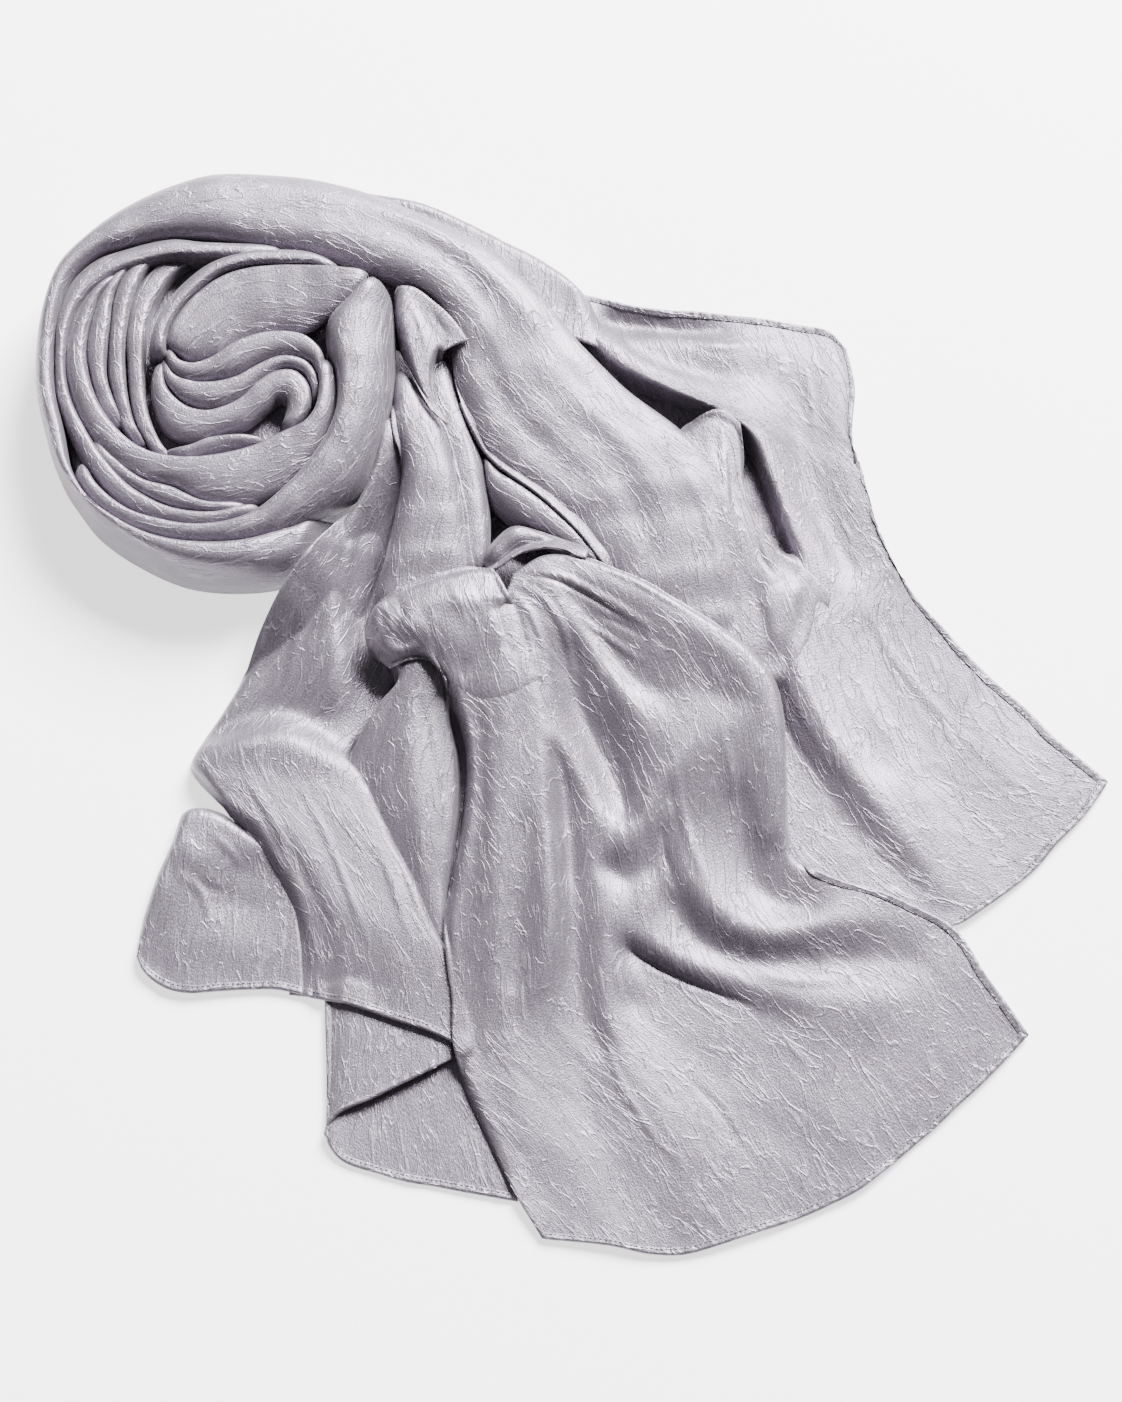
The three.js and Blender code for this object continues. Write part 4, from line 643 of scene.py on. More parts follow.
      [[-80, 212, 37], [-68, 198, 36], [-63, 190, 37]],
    ],
  },
  "knot": {
    "over": ["ribbon_1", "ribbon_2", "leaf", "front_end", "small_petal", "under_tail"],
    "top": [[-100, 44], [-88, 52], [-75, 58], [-60, 63], [-48, 66], [-36, 64]],
    "right": [[-36, 64], [-28, 48], [-20, 34], [-14, 20], [-10, 4], [-8, -14]],
    "bottom": [[-90, 10], [-80, 14], [-70, 14], [-63, 6], [-58, -8], [-48, -20], [-30, -24],
        [-8, -14]],
    "left": [[-100, 44], [-104, 35], [-101, 22], [-90, 10]],
    "turned": { "top": [0, 1], "left": [0, 1], "bottom": [0, 0.42] },
    "sunk": { "right": [16, 0.34, 1], "bottom": [20, 0.44, 1] },
    "round": 7,
    "relief": [
      [[-96, 36, 33], [-82, 42, 37], [-68, 44, 39], [-52, 44, 39], [-38, 40, 38.5], [-32, 25, 36.5],
          [-32, 10, 34], [-32, -6, 31.5], [-32, -20, 29.5]],
      [[-16, 14, 32], [-9, -8, 30.5]],
      [[-50, 6, 29], [-49, -12, 25.5]],
      [[-92, 46, 31], [-76, 52, 34], [-60, 57, 35], [-46, 59, 35], [-38, 56, 35]],
      [[-90, 32, 34], [-80, 29, 37], [-71, 27, 37], [-64, 17, 35], [-60, 6, 31], [-56, -4, 27]],
      [[-90, 24, 29], [-80, 21, 30], [-73, 19, 29], [-67, 11, 27], [-63, 2, 25]],
    ],
  },
}

HEM_FOLD = {
  "rows": [
    [[-62, -158, 7], [-90, -158, 7], [-112, -160, 6.6], [-124, -163, 3.6], [-112, -165, 0.4],
        [-80, -162, 0], [-48, -160, 0]],
    [[-56, -197, 8], [-78, -208, 8], [-100, -219, 7.8], [-116, -227, 6.6], [-122, -237, 4],
        [-115, -248, 0.8], [-88, -258, 0], [-22, -271, 0]],
  ],
}

# ---- creases, by piece -------------------------------------------------------------------------
# Each is half its width, then x, y, height along it: a ridge, or a trough where it is below zero.
CREASES = {
    "front_end": [
        [2.6, [33, -137, 0], [45, -145, -2.6], [62, -154, -2.4], [84, -163, -1.4], [104, -171, 0]],
        [3.2, [-30, 52, 0], [-18, 40, 0.8], [-10, 22, 0.9], [-6, 4, 0.5], [-4, -10, 0]],
        [3.2, [-26, 56, 0], [-10, 46, 0.9], [2, 28, 0.9], [6, 10, 0.6], [8, -6, 0]],
        [2.6, [-28, 50, 0], [-22, 34, -0.8], [-17, 14, -0.8], [-14, -4, 0]],
        [3.4, [-20, 62, 0], [0, 58, 0.9], [20, 48, 0.9], [40, 36, 0.6], [56, 26, 0]],
        [2.6, [-22, 60, 0], [4, 53, -0.8], [24, 42, -0.7], [44, 28, 0]],
        [3.4, [10, 66, 0], [34, 58, 0.7], [56, 46, 0.7], [74, 36, 0]],
        [3, [8, 38, 0], [20, 30, 0.8], [34, 20, 0.6], [48, 12, 0]],
        [3, [16, 40, 0], [32, 33, -0.7], [50, 22, 0]],
        [5, [-40, 20, 0], [-38, -20, 0.4], [-36, -70, 0.4], [-38, -110, 0]],
        [4, [-47, -60, 0], [-49, -95, 0.4], [-55, -125, 0]],
        [4, [-42, -95, 0], [-46, -120, -0.4], [-52, -142, 0]],
        [3, [-30, -110, 0], [-34, -135, 0.8], [-42, -160, 0]],
        [4, [58, -30, 0], [62, -60, 0.8], [70, -90, 0.8], [78, -108, 0]],
        [4, [50, -70, 0], [56, -95, -0.8], [64, -112, 0]],
        [5, [96, -150, 0], [120, -156, 0.9], [150, -156, 0]],
        [4, [84, -20, 0], [90, -50, 0.7], [92, -78, 0]],
        [3, [22, -185, 0], [30, -208, 0.8], [46, -235, 0.7], [66, -256, 0]],
        [3, [60, -200, 0], [84, -228, -0.7], [96, -250, 0]],
    ],
    "main_band": [
        [12, [-150, 264, 0], [-100, 258, -0.9], [-62, 238, -1.3], [-34, 207, -1.2], [-20, 182, 0]],
        [8, [-128, 276, 0], [-84, 262, 0.7], [-44, 236, 0.8], [-14, 205, 0.6], [8, 176, 0]],
        [12, [-50, 200, 0], [-40, 178, -1.6], [-26, 152, -1.6], [-2, 126, -1.2], [20, 104, 0]],
        [10, [-20, 190, 0], [6, 162, 1.0], [34, 136, 1.2], [54, 106, 0.9], [62, 80, 0]],
        [9, [10, 150, 0], [30, 120, -1.0], [44, 88, -1.0], [52, 62, 0]],
        [6, [60, 132, 0], [76, 104, 0.8], [84, 76, 0.8], [88, 52, 0]],
        [3, [-96, 250, 0], [-70, 238, 0.5], [-50, 218, 0.4], [-38, 196, 0]],
        [3, [-60, 252, 0], [-34, 232, -0.4], [-12, 204, -0.4], [0, 182, 0]],
    ],
    "right_end": [
        [5, [160, 60, 0], [176, 26, 0.5], [200, -6, 0.4], [226, -34, 0]],
        [4, [156, 16, 0], [170, -16, 0.4], [190, -48, 0]],
        [3, [106, 36, 0], [111, 8, -0.6], [124, -24, -0.6], [140, -48, 0]],
        [3, [114, 52, 0], [117, 22, 0.6], [128, -10, 0.6], [146, -44, 0]],
        [4, [60, 206, 0], [86, 198, 0.8], [112, 200, 0]],
        [3, [130, 196, 0], [136, 170, 0.5], [138, 140, 0]],
    ],
    "under_tail": [
        [3, [-128, 70, 0], [-138, 40, 0.9], [-146, 10, 0.8], [-156, -10, 0]],
        [3, [-124, 30, 0], [-133, 8, 0.9], [-146, -8, 0]],
        [2.6, [-120, 12, 0], [-126, -6, 0.9], [-136, -14, 0]],
        [3, [-140, 30, 0], [-150, 4, -0.9], [-164, -12, 0]],
        [2.6, [-118, 44, 0], [-124, 30, -0.8], [-128, 12, 0]],
        [3, [-108, 96, 0], [-114, 74, 0.8], [-117, 52, 0]],
        [4, [-168, -44, 0], [-152, -70, 0.8], [-140, -98, 0.8], [-130, -128, 0]],
        [3, [-140, -48, 0], [-124, -78, 0.7], [-110, -112, 0.7], [-98, -144, 0]],
        [3, [-100, -78, 0], [-88, -106, 0.8], [-78, -140, 0]],
        [3, [-94, -72, 0], [-82, -104, -0.7], [-73, -134, 0]],
    ],
    "left_flap": [
        [3, [-204, -98, 0], [-192, -104, 0.9], [-186, -116, 0.7], [-184, -130, 0]],
        [2.6, [-194, -100, 0], [-184, -106, -0.8], [-172, -108, 0]],
        [3, [-186, -76, 0], [-176, -84, 0.7], [-166, -96, 0]],
    ],
    "leaf": [
        [2.6, [-82, 10, 0], [-88, -14, 0.9], [-92, -44, 0.8], [-88, -76, 0]],
        [2.6, [-78, 6, 0], [-72, -20, -0.8], [-68, -54, 0]],
        [2.6, [-70, -10, 0], [-64, -40, 0.8], [-66, -90, 0]],
    ],
    "knot": [
        [2.8, [-96, 44, 0], [-90, 34, 1.1], [-94, 24, 0]],
        [2.8, [-88, 48, 0], [-84, 36, -1.0], [-90, 22, 0]],
        [2.8, [-74, 24, 0], [-82, 18, 1.0], [-90, 14, 0]],
        [4, [-60, 56, 0], [-54, 42, 0.7], [-50, 28, 0]],
        [4, [-48, 58, 0], [-42, 44, -0.6], [-39, 30, 0]],
        [2.4, [-37, 62, 0], [-33, 50, -1.4], [-27, 38, -1.0], [-23, 26, 0]],
    ],
    "hem_fold": [],
    "behind": [[4, [-120, 285, 0], [-80, 276, 0.8], [-40, 258, 0]]],
    "second_fold": [
        [3, [86, 150, 0], [88, 126, 0.9], [90, 100, 0.7], [98, 76, 0]],
        [3, [104, 88, 0], [108, 74, -0.8], [116, 62, 0]],
    ],
    "collar_petal": [
        [2.6, [-84, 218, 0], [-76, 200, 0.9], [-72, 184, 0]],
        [2.4, [-72, 212, 0], [-66, 202, -0.8], [-60, 194, 0]],
    ],
}

# ---- lines and values through a table ----------------------------------------------------------


def row_line(points):
    """A centripetal Catmull-Rom line through points, read by row."""
    pts = np.array([list(p) + [0.0] * (3 - len(p)) for p in points], float)
    ends = np.vstack([2 * pts[0] - pts[1], pts, 2 * pts[-1] - pts[-2]])

    def at(t):
        t = np.clip(np.asarray(t, float), 0, 1) * (len(pts) - 1)
        i = np.minimum(t.astype(int), len(pts) - 2)
        w = (t - i)[..., None]
        p0, p1, p2, p3 = (ends[i + k] for k in range(4))
        d0, d1, d2 = (
            np.maximum(np.linalg.norm(b - a, axis=-1, keepdims=True) ** 0.5, 1e-4)
            for a, b in ((p0, p1), (p1, p2), (p2, p3))
        )
        m1 = ((p1 - p0) / d0 - (p2 - p0) / (d0 + d1) + (p2 - p1) / d1) * d1
        m2 = ((p2 - p1) / d1 - (p3 - p1) / (d1 + d2) + (p3 - p2) / d2) * d1
        square, cube = 3 * (p2 - p1) - 2 * m1 - m2, 2 * (p1 - p2) + m1 + m2
        return p1 + m1 * w + square * w**2 + cube * w**3

    return at


def length_line(points):
    """The same line, read by its share of length."""
    at = row_line(points)
    rows = np.linspace(0, 1, LINE_PROBES)
    run = np.concatenate([[0], np.cumsum(np.linalg.norm(np.diff(at(rows), axis=0), axis=1))])

    def by_length(t):
        return at(np.interp(np.clip(t, 0, 1) * run[-1], run, rows))

    by_length.length = run[-1]
    return by_length


def smooth(t):
    """0 to 1 with soft ends."""
    t = np.clip(t, 0, 1)
    return t * t * (3 - 2 * t)


def row_value(values):
    """A value through a column of a table, read by row."""
    values = np.array(values, float)

    def at(t):
        t = np.clip(np.asarray(t, float), 0, 1) * (len(values) - 1)
        i = np.minimum(t.astype(int), len(values) - 2)
        return values[i] + (values[i + 1] - values[i]) * smooth(t - i)

    return at


# ---- what lies under a stretch -----------------------------------------------------------------
laid = {}  # each stretch's grid of points, once it lies
SIDE = int(2 * MAP_HALF / MAP_CELL)
STRAIGHT = ((0, 1), (1, 0), (0, -1), (-1, 0))
DIAGONAL = ((1, 1), (-1, -1), (1, -1), (-1, 1))


def cells(x, y):
    """The row and column of a height map, as fractions."""
    return (
        np.clip((y + MAP_HALF) / MAP_CELL, 1, SIDE - 2),
        np.clip((x + MAP_HALF) / MAP_CELL, 1, SIDE - 2),
    )


def between_cells(field, x, y):
    """A map's value at x, y, between its four nearest cells."""
    row, column = cells(np.asarray(x) - MAP_CELL / 2, np.asarray(y) - MAP_CELL / 2)
    i, j = row.astype(int), column.astype(int)
    s, t = row - i, column - j
    low = field[i, j] * (1 - t) + field[i, j + 1] * t
    return low * (1 - s) + (field[i + 1, j] * (1 - t) + field[i + 1, j + 1] * t) * s


def tops(names, above):
    """A map of the highest points of the named stretches."""
    high = np.zeros((SIDE, SIDE))
    for name in names:
        points = laid[name].reshape(-1, 3)
        row, column = cells(points[:, 0], points[:, 1])
        np.maximum.at(high, (row.astype(int), column.astype(int)), points[:, 2] + above)
    return high


def support_over(names):
    """A function of x, y: the tops of the named stretches, spread out and sloping to the table."""
    high = tops(names, GAP)
    if names:
        reach = int(SPREAD / MAP_CELL) + 1
        wide = high.copy()
        for a in range(-reach, reach + 1):
            for b in range(-reach, reach + 1):
                if math.hypot(a, b) * MAP_CELL <= SPREAD:
                    wide = np.maximum(wide, np.roll(high, (a, b), (0, 1)))
        for _ in range(FALL_PASSES):
            for move in STRAIGHT + DIAGONAL:
                fall = SLOPE * MAP_CELL * math.hypot(*move)
                wide = np.maximum(wide, np.roll(wide, move, (0, 1)) - fall)
        for _ in range(2):
            wide = (wide * 4 + sum(np.roll(wide, move, (0, 1)) for move in STRAIGHT)) / 8
        high = wide

    return lambda x, y: between_cells(high, x, y)


# ---- the ways a stretch lies -------------------------------------------------------------------


def crest_distance(points, x, y):
    """How far x, y is from a crest, and the crest's height there."""
    best = np.full(x.shape, np.inf)
    height = np.zeros(x.shape)
    for a, b in zip(points[:-1], points[1:]):
        dx, dy = b[0] - a[0], b[1] - a[1]
        t = np.clip(((x - a[0]) * dx + (y - a[1]) * dy) / (dx * dx + dy * dy), 0, 1)
        ox, oy = x - a[0] - t * dx, y - a[1] - t * dy
        far = np.hypot(ox, oy)
        near = far < best
        best = np.where(near, far, best)
        height = np.where(near, a[2] + t * (b[2] - a[2]), height)
    return best, height


def relief(lines):
    """A function of x, y: a cloth's height, drawn tight between lines of x, y, height."""
    total, count = np.zeros((SIDE, SIDE)), np.zeros((SIDE, SIDE))
    for points in lines:
        line = length_line(points)
        points = line(np.linspace(0, 1, int(line.length / DRAWN) + 2))
        row, column = cells(points[:, 0], points[:, 1])
        np.add.at(total, (row.astype(int), column.astype(int)), points[:, 2])
        np.add.at(count, (row.astype(int), column.astype(int)), 1)
    field = None
    for step in HALVINGS:
        side = -(-SIDE // step) * step
        pad = ((0, side - SIDE), (0, side - SIDE))
        blocks = [
            np.pad(a, pad).reshape(side // step, step, side // step, step).sum(axis=(1, 3))
            for a in (total, count)
        ]
        known = blocks[1] > 0
        fixed = blocks[0] / np.maximum(blocks[1], 1)
        if field is None:
            field = np.full(known.shape, fixed[known].mean())
        else:
            field = np.repeat(np.repeat(field, 2, 0), 2, 1)[: known.shape[0], : known.shape[1]]
        for _ in range(TIGHT_PASSES):
            field[known] = fixed[known]
            edge = np.pad(field, 1, mode="edge")
            field = (edge[2:, 1:-1] + edge[:-2, 1:-1] + edge[1:-1, 2:] + edge[1:-1, :-2]) / 4
        field[known] = fixed[known]
    for _ in range(EASE):
        edge = np.pad(field, 1, mode="edge")
        edge = edge[:-2] + 2 * edge[1:-1] + edge[2:]
        field = (edge[:, :-2] + 2 * edge[:, 1:-1] + edge[:, 2:]) / 16
    return lambda x, y: between_cells(field, x, y)


def top_of(names):
    """A function of x, y: the tops of the named stretches themselves."""
    high = tops(names, 0)
    for _ in range(2):
        near = [np.roll(high, (a, b), (0, 1)) for a in (-1, 0, 1) for b in (-1, 0, 1)]
        filled = sum(near) / np.maximum(sum(n > 0 for n in near), 1)
        high = np.where(high > 0, high, filled)
    return lambda x, y: between_cells(high, x, y)


def ramp(along, low, high, fade):
    """1 from low to high along a side, fading to 0 beyond them."""
    return smooth((along - low) / fade + 1) * smooth((high - along) / fade + 1)


def panel_grid(spec):
    """A sheet's points, its cloth coordinates, and how far it may crease at each."""
    T, R, B, L = (length_line(spec[side]) for side in ("top", "right", "bottom", "left"))
    n = int(max(R.length, L.length) / STEP) + 2
    m = int(max(T.length, B.length) / STEP) + 2
    v, u = np.meshgrid(np.linspace(0, 1, n), np.linspace(0, 1, m), indexing="ij")
    U, V = u[..., None], v[..., None]
    t, b, l, r = T(u), B(u), L(v), R(v)
    corners = T(0) * (1 - U) * (1 - V) + T(1) * U * (1 - V) + B(0) * (1 - U) * V + B(1) * U * V
    p = t * (1 - V) + b * V + l * (1 - U) + r * U - corners
    x, y = p[..., 0], p[..., 1]
    own = relief(spec["relief"])(x, y)
    wide = np.linalg.norm(r - l, axis=-1)
    tall = np.linalg.norm(t - b, axis=-1)
    sides = {
        "left": (v, u * wide),
        "right": (v, (1 - u) * wide),
        "top": (u, v * tall),
        "bottom": (u, (1 - v) * tall),
    }
    for side, (low, high) in spec.get("turned", {}).items():
        along, far = sides[side]
        on = ramp(along, low, high, TURN_FADE)
        own = own * (1 - on * (1 - np.sqrt(1 - (1 - np.clip(far / spec["round"], 0, 1)) ** 2)))
    z = np.maximum(own, support_over(spec["over"])(x, y)) + WALL
    under = top_of(spec["over"])(x, y)
    calm = np.ones(x.shape)
    for side, (wide_in, low, high) in spec.get("sunk", {}).items():
        along, far = sides[side]
        on = ramp(along, low, high, SUNK_FADE)
        near = 1 - smooth(far / wide_in - FLUSH_REACH)
        z = z + (np.maximum(own, under) + FLUSH - z) * on * near
        z = z + (np.minimum(z, under - SINK) - z) * on * (1 - smooth(far / wide_in))
        calm *= 1 - CALM * on * (1 - smooth(far / wide_in / CALM_REACH))
    p[..., 2] = z
    uv = np.stack([(u - 0.5) * np.broadcast_to(wide, u.shape), v * (L.length + R.length) / 2], -1)
    return p, uv, calm


def band_grid(spec, tucked=0.0):
    """A band's points and cloth coordinates: two rounded sides that meet on its crest."""
    rows = np.array([list(row) + spec["feet"][len(row) - 6:] for row in spec["rows"]], float)
    inner, outer = row_line(rows[:, 0:2]), row_line(rows[:, 2:4])
    share, top, foot_in, foot_out = (row_value(rows[:, k]) for k in (4, 5, 6, 7))
    probe = np.linspace(0, 1, BAND_PROBES)
    mid = (inner(probe) + outer(probe)) / 2
    run = np.concatenate([[0], np.cumsum(np.linalg.norm(np.diff(mid, axis=0), axis=1))])
    t = np.interp(np.linspace(0, run[-1], int(run[-1] / STEP) + 2), run, probe)
    a, b = inner(t), outer(t)
    crest = a + (b - a) * (share(t) * (LEAN if tucked else 1))[:, None]
    widest = max(LEAST_WIDE, *(np.linalg.norm(edge - crest, axis=1).max() for edge in (a, b)))
    sides = int(widest * ARC / STEP) + 3
    support = support_over(spec["over"]) if spec.get("over") else None
    full = spec.get("full", 1)
    far = np.minimum(t, 1 - t) * run[-1]
    nose = (BLUNT + (1 - BLUNT) * np.sqrt(1 - (1 - np.clip(far / NOSE, 0, 1)) ** 2))[:, None]

    def flank(edge, foot, more):
        """One side: two thirds of it turn down from the crest to the belly, the rest goes in."""
        reach = np.linalg.norm(edge - crest, axis=1) + more
        aside = (edge - crest) / np.maximum(reach, 1e-6)[:, None]
        reach = np.maximum(NARROWEST, reach - GAP)[:, None]
        high, low = top(t)[:, None], foot(t)[:, None]
        s = np.linspace(0, 1, sides + 1)[None, :]
        turn = np.minimum(1, s * 1.5) * math.pi / 2
        under = np.maximum(0, s * 3 - 2)
        belly = low + BELLY * (high - low)
        over, out = np.cos(turn) ** full, np.sin(turn) ** full
        p = crest[:, None, :] + aside[:, None, :] * (reach * nose * (out - TUCK * under))[..., None]
        p[..., 2] = belly + (high - belly) * over * nose - (belly - low) * under
        if support:
            p[..., 2] = np.maximum(p[..., 2], support(p[..., 0], p[..., 1]))
        return p

    p = np.concatenate([flank(a, foot_in, 0)[:, :0:-1], flank(b, foot_out, tucked)], axis=1)
    steps = np.linalg.norm(np.diff(p, axis=1), axis=2)
    across = np.concatenate([np.zeros((len(t), 1)), np.cumsum(steps, axis=1)], 1)
    across = across - across[:, sides:sides + 1]
    along = np.broadcast_to(np.linspace(0, run[-1], len(t))[:, None], across.shape)
    return p, np.stack([across, along], -1)


def folded_grid(spec):
    """A sheet between two lines that each turn back on themselves."""
    ends = [length_line(row) for row in spec["rows"]]
    m = int(max(end.length for end in ends) / STEP) + 2
    n = int(np.linalg.norm(ends[0](0) - ends[1](0)) / STEP) * 2 + 2
    v, u = np.meshgrid(np.linspace(0, 1, n), np.linspace(0, 1, m), indexing="ij")
    p = ends[0](u) * (1 - v[..., None]) + ends[1](u) * v[..., None]
    return p, np.stack([u * ends[1].length, v * FOLD_DEEP], -1)


# ---- creases and crinkle -----------------------------------------------------------------------


def normals_of(p):
    """A grid's unit normals, mostly upwards."""
    down = np.gradient(p, axis=0)
    across = np.gradient(p, axis=1)
    n = np.cross(across, down)
    n /= np.maximum(np.linalg.norm(n, axis=-1, keepdims=True), 1e-9)
    return n * (1 if n[..., 2].sum() > 0 else -1)


def value_noise(x, y, seed):
    """Smooth noise from 0 to 1 on a unit lattice."""
    table = np.random.default_rng(seed).random((128, 128))
    i, j = np.floor(x).astype(int), np.floor(y).astype(int)
    s, t = smooth(x - i), smooth(y - j)
    a, b = table[i % 128, j % 128], table[(i + 1) % 128, j % 128]
    c, d = table[i % 128, (j + 1) % 128], table[(i + 1) % 128, (j + 1) % 128]
    return (a * (1 - s) + b * s) * (1 - t) + (c * (1 - s) + d * s) * t


def crinkle(uv, seed):
    """Soft wrinkles along the cloth, in millimetres of height."""
    u, v = uv[..., 0], uv[..., 1]
    sway = value_noise(u / 24, v / 24, seed + 9) * 12
    ridge = 1 - np.abs(2 * value_noise((u + sway) / 9, v / 24, seed) - 1)
    fine = 1 - np.abs(2 * value_noise((u + sway) / 5, v / 13, seed + 1) - 1)
    where = smooth(value_noise(u / 30, v / 40, seed + 2) * 2.2 - 0.6)
    swell = value_noise(u / 24, v / 34, seed + 3) - 0.5
    return ridge**3 * where * RIDGE_HIGH + fine**3 * FINE_HIGH * where + swell * SWELL_HIGH


def creased(name, p, uv, seed, calm=1.0):
    """The cloth with its placed creases and its crinkle, less of both where it is calm."""
    x, y = p[..., 0], p[..., 1]
    lift = np.zeros(x.shape)
    for half, *points in [crease for part in name.split("+") for crease in CREASES.get(part, [])]:
        far, height = crest_distance(length_line(points)(np.linspace(0, 1, 21)), x, y)
        lift += height * (1 - smooth(far / half))
    lift = (lift + crinkle(uv, seed)) * calm
    normals = normals_of(p)
    p = p + normals * lift[..., None]
    p[..., 2] = np.maximum(p[..., 2], LOWEST)
    return p


# ---- meshes ------------------------------------------------------------------------------------


def cloth_mesh(name, p, uv, material):
    """A grid of cloth at p, in millimetres of the tables' frame, given a thin wall."""
    if np.cross(np.gradient(p, axis=1), np.gradient(p, axis=0))[..., 2].sum() < 0:
        p, uv = p[:, ::-1], uv[:, ::-1]
    n, m = p.shape[:2]
    bpy.ops.object.select_all(action="DESELECT")
    bpy.ops.mesh.primitive_grid_add(
        x_subdivisions=m - 1, y_subdivisions=n - 1, size=1, calc_uvs=True
    )
    piece = bpy.context.object
    piece.name = piece.data.name = name
    mesh = piece.data
    place = p[::-1].reshape(-1, 3).copy()
    place[:, :2] -= CENTRE
    mesh.vertices.foreach_set("co", (place * MM).ravel())
    corner = np.empty(len(mesh.loops), int)
    mesh.loops.foreach_get("vertex_index", corner)
    mesh.uv_layers[0].data.foreach_set("uv", (uv[::-1].reshape(-1, 2) * MM)[corner].ravel())
    mesh.update()
    wall = piece.modifiers.new("Wall", "SOLIDIFY")
    wall.thickness = SHELL * MM
    wall.offset = -1
    bpy.ops.object.modifier_apply(modifier="Wall")
    bpy.ops.object.shade_smooth()
    mesh.materials.append(material)
    return piece


def put_band(name, also=None):
    """Lays one band, or two that run into each other as one."""
    spec = BANDS[name]
    if also:
        feet = spec["feet"]
        rows = [row + feet[len(row) - 6:] for row in spec["rows"]] + BANDS[also]["rows"][1:]
        spec = dict(BANDS[also], rows=rows)
        name = name + "+" + also
    p, uv = band_grid(spec, TUCKED if name.startswith("rosette") and not also else 0)
    n = len(p)
    shape = creased(name, p, uv, BAND_SEED + list(BANDS).index(name.split("+")[0]))
    drop = (p[..., 2].max(axis=1, keepdims=True) - p[..., 2]) / QUIET
    ends = np.minimum(np.arange(n), np.arange(n)[::-1])[:, None] / END_ROWS
    keep = (1 - QUIETED * smooth(drop)) * smooth(END_KEPT + ends)
    return put(name, p + (shape - p) * keep[..., None], uv, spec.get("over", []))


def put_panel(name):
    """Lays one sheet over what lies there."""
    spec = PANELS[name]
    p, uv, calm = panel_grid(spec)
    low = np.minimum(support_over(spec["over"])(p[..., 0], p[..., 1]) + SHELL, p[..., 2])
    p = creased(name, p, uv, PANEL_SEED + list(PANELS).index(name), calm)
    p[..., 2] = np.maximum(p[..., 2], low)
    return put(name, p, uv, spec["over"])


def put(name, p, uv, under):
    names = name.split("+")
    for each in names:
        laid[each] = p
    piece = cloth_mesh(names[-1] + "_cloth", p, uv, satin())
    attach(piece, "root")
    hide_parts(*names)
    long = np.linalg.norm(np.diff(p, axis=0), axis=-1).sum(axis=0).mean() * MM
    wide = np.linalg.norm(np.diff(p, axis=1), axis=-1).sum(axis=1) * MM
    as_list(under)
    return piece


# ---- hems --------------------------------------------------------------------------------------
SWAY, PUCKER, SWELL = 17, 2.3, 11  # how long a hem's sway, puckers and swells are
HEM_SIDES = 14  # the points round a hem
HEM_SQUARE = 0.75  # below 1 its section is squarer than an ellipse
SEAM_AT = 0.45  # where its stitches sink in, as a share of its half width
SEAM_END = 3.0  # how far from its ends they begin and stop
THREAD_SIDES = 6
THREAD_WIDE, THREAD_HIGH, THREAD_LIFT = 0.42, 0.34, 0.16
HEMS = [  # the stretch, its side, and the shares of that side between which the hem shows
    ("hem_fold", "bottom", 0.05, 1),
    ("right_end", "top", 0.1, 1),
    ("front_end", "bottom", 0, 1),
    ("front_end", "right", 0.60, 1),
    ("right_end", "right", 0, 1),
    ("right_end", "bottom", 0, 1),
    ("left_flap", "bottom", 0, 1),
    ("under_tail", "bottom", 0, 1),
]


def edge_line(name, side, low=0.0, high=1.0):
    """The points along one edge, the way into the cloth there, and the cloth's normal."""
    p = laid[name]
    normals = normals_of(p)
    depth = {"bottom": (-1, -2), "top": (0, 1)}
    if side in depth:
        edge, inner, n = p[depth[side][0]], p[depth[side][1]], normals[depth[side][1]]
    else:
        k, l = {"left": (0, 1), "right": (-1, -2)}[side]
        edge, inner, n = p[:, k], p[:, l], normals[:, l]
    first, last = int(low * (len(edge) - 1)), int(high * (len(edge) - 1)) + 1
    edge, inner, n = edge[first:last], inner[first:last], n[first:last]
    into = inner - edge
    into /= np.maximum(np.linalg.norm(into, axis=1, keepdims=True), 1e-9)
    return edge, into, n


def even(values, run, at):
    """Points or directions read at even steps along their line."""
    return np.stack([np.interp(at, run, values[:, k]) for k in range(3)], 1)


def ring_faces(n, m):
    """The faces between n rings of m points."""
    return [
        (i * m + j, i * m + (j + 1) % m, (i + 1) * m + (j + 1) % m, (i + 1) * m + j)
        for i in range(n - 1)
        for j in range(m)
    ]


def finished(name, place, faces, material, uv=None):
    """A smooth closed piece from points in millimetres of the tables' frame, on the root body."""
    place = np.array(place)
    place[:, :2] -= CENTRE
    mesh = bpy.data.meshes.new(name)
    mesh.from_pydata((place * MM).tolist(), [], faces)
    mesh.materials.append(material)
    if uv is not None:
        layer = mesh.uv_layers.new(name="UVMap")
        corner = np.empty(len(mesh.loops), int)
        mesh.loops.foreach_get("vertex_index", corner)
        layer.data.foreach_set("uv", uv[corner].ravel())
    piece = bpy.data.objects.new(name, mesh)
    bpy.context.scene.collection.objects.link(piece)
    bpy.ops.object.select_all(action="DESELECT")
    piece.select_set(True)
    bpy.context.view_layer.objects.active = piece
    bpy.ops.object.mode_set(mode="EDIT")
    bpy.ops.mesh.select_all(action="SELECT")
    bpy.ops.mesh.normals_make_consistent(inside=False)
    bpy.ops.object.mode_set(mode="OBJECT")
    bpy.ops.object.shade_smooth()
    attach(piece, "root")
    return piece


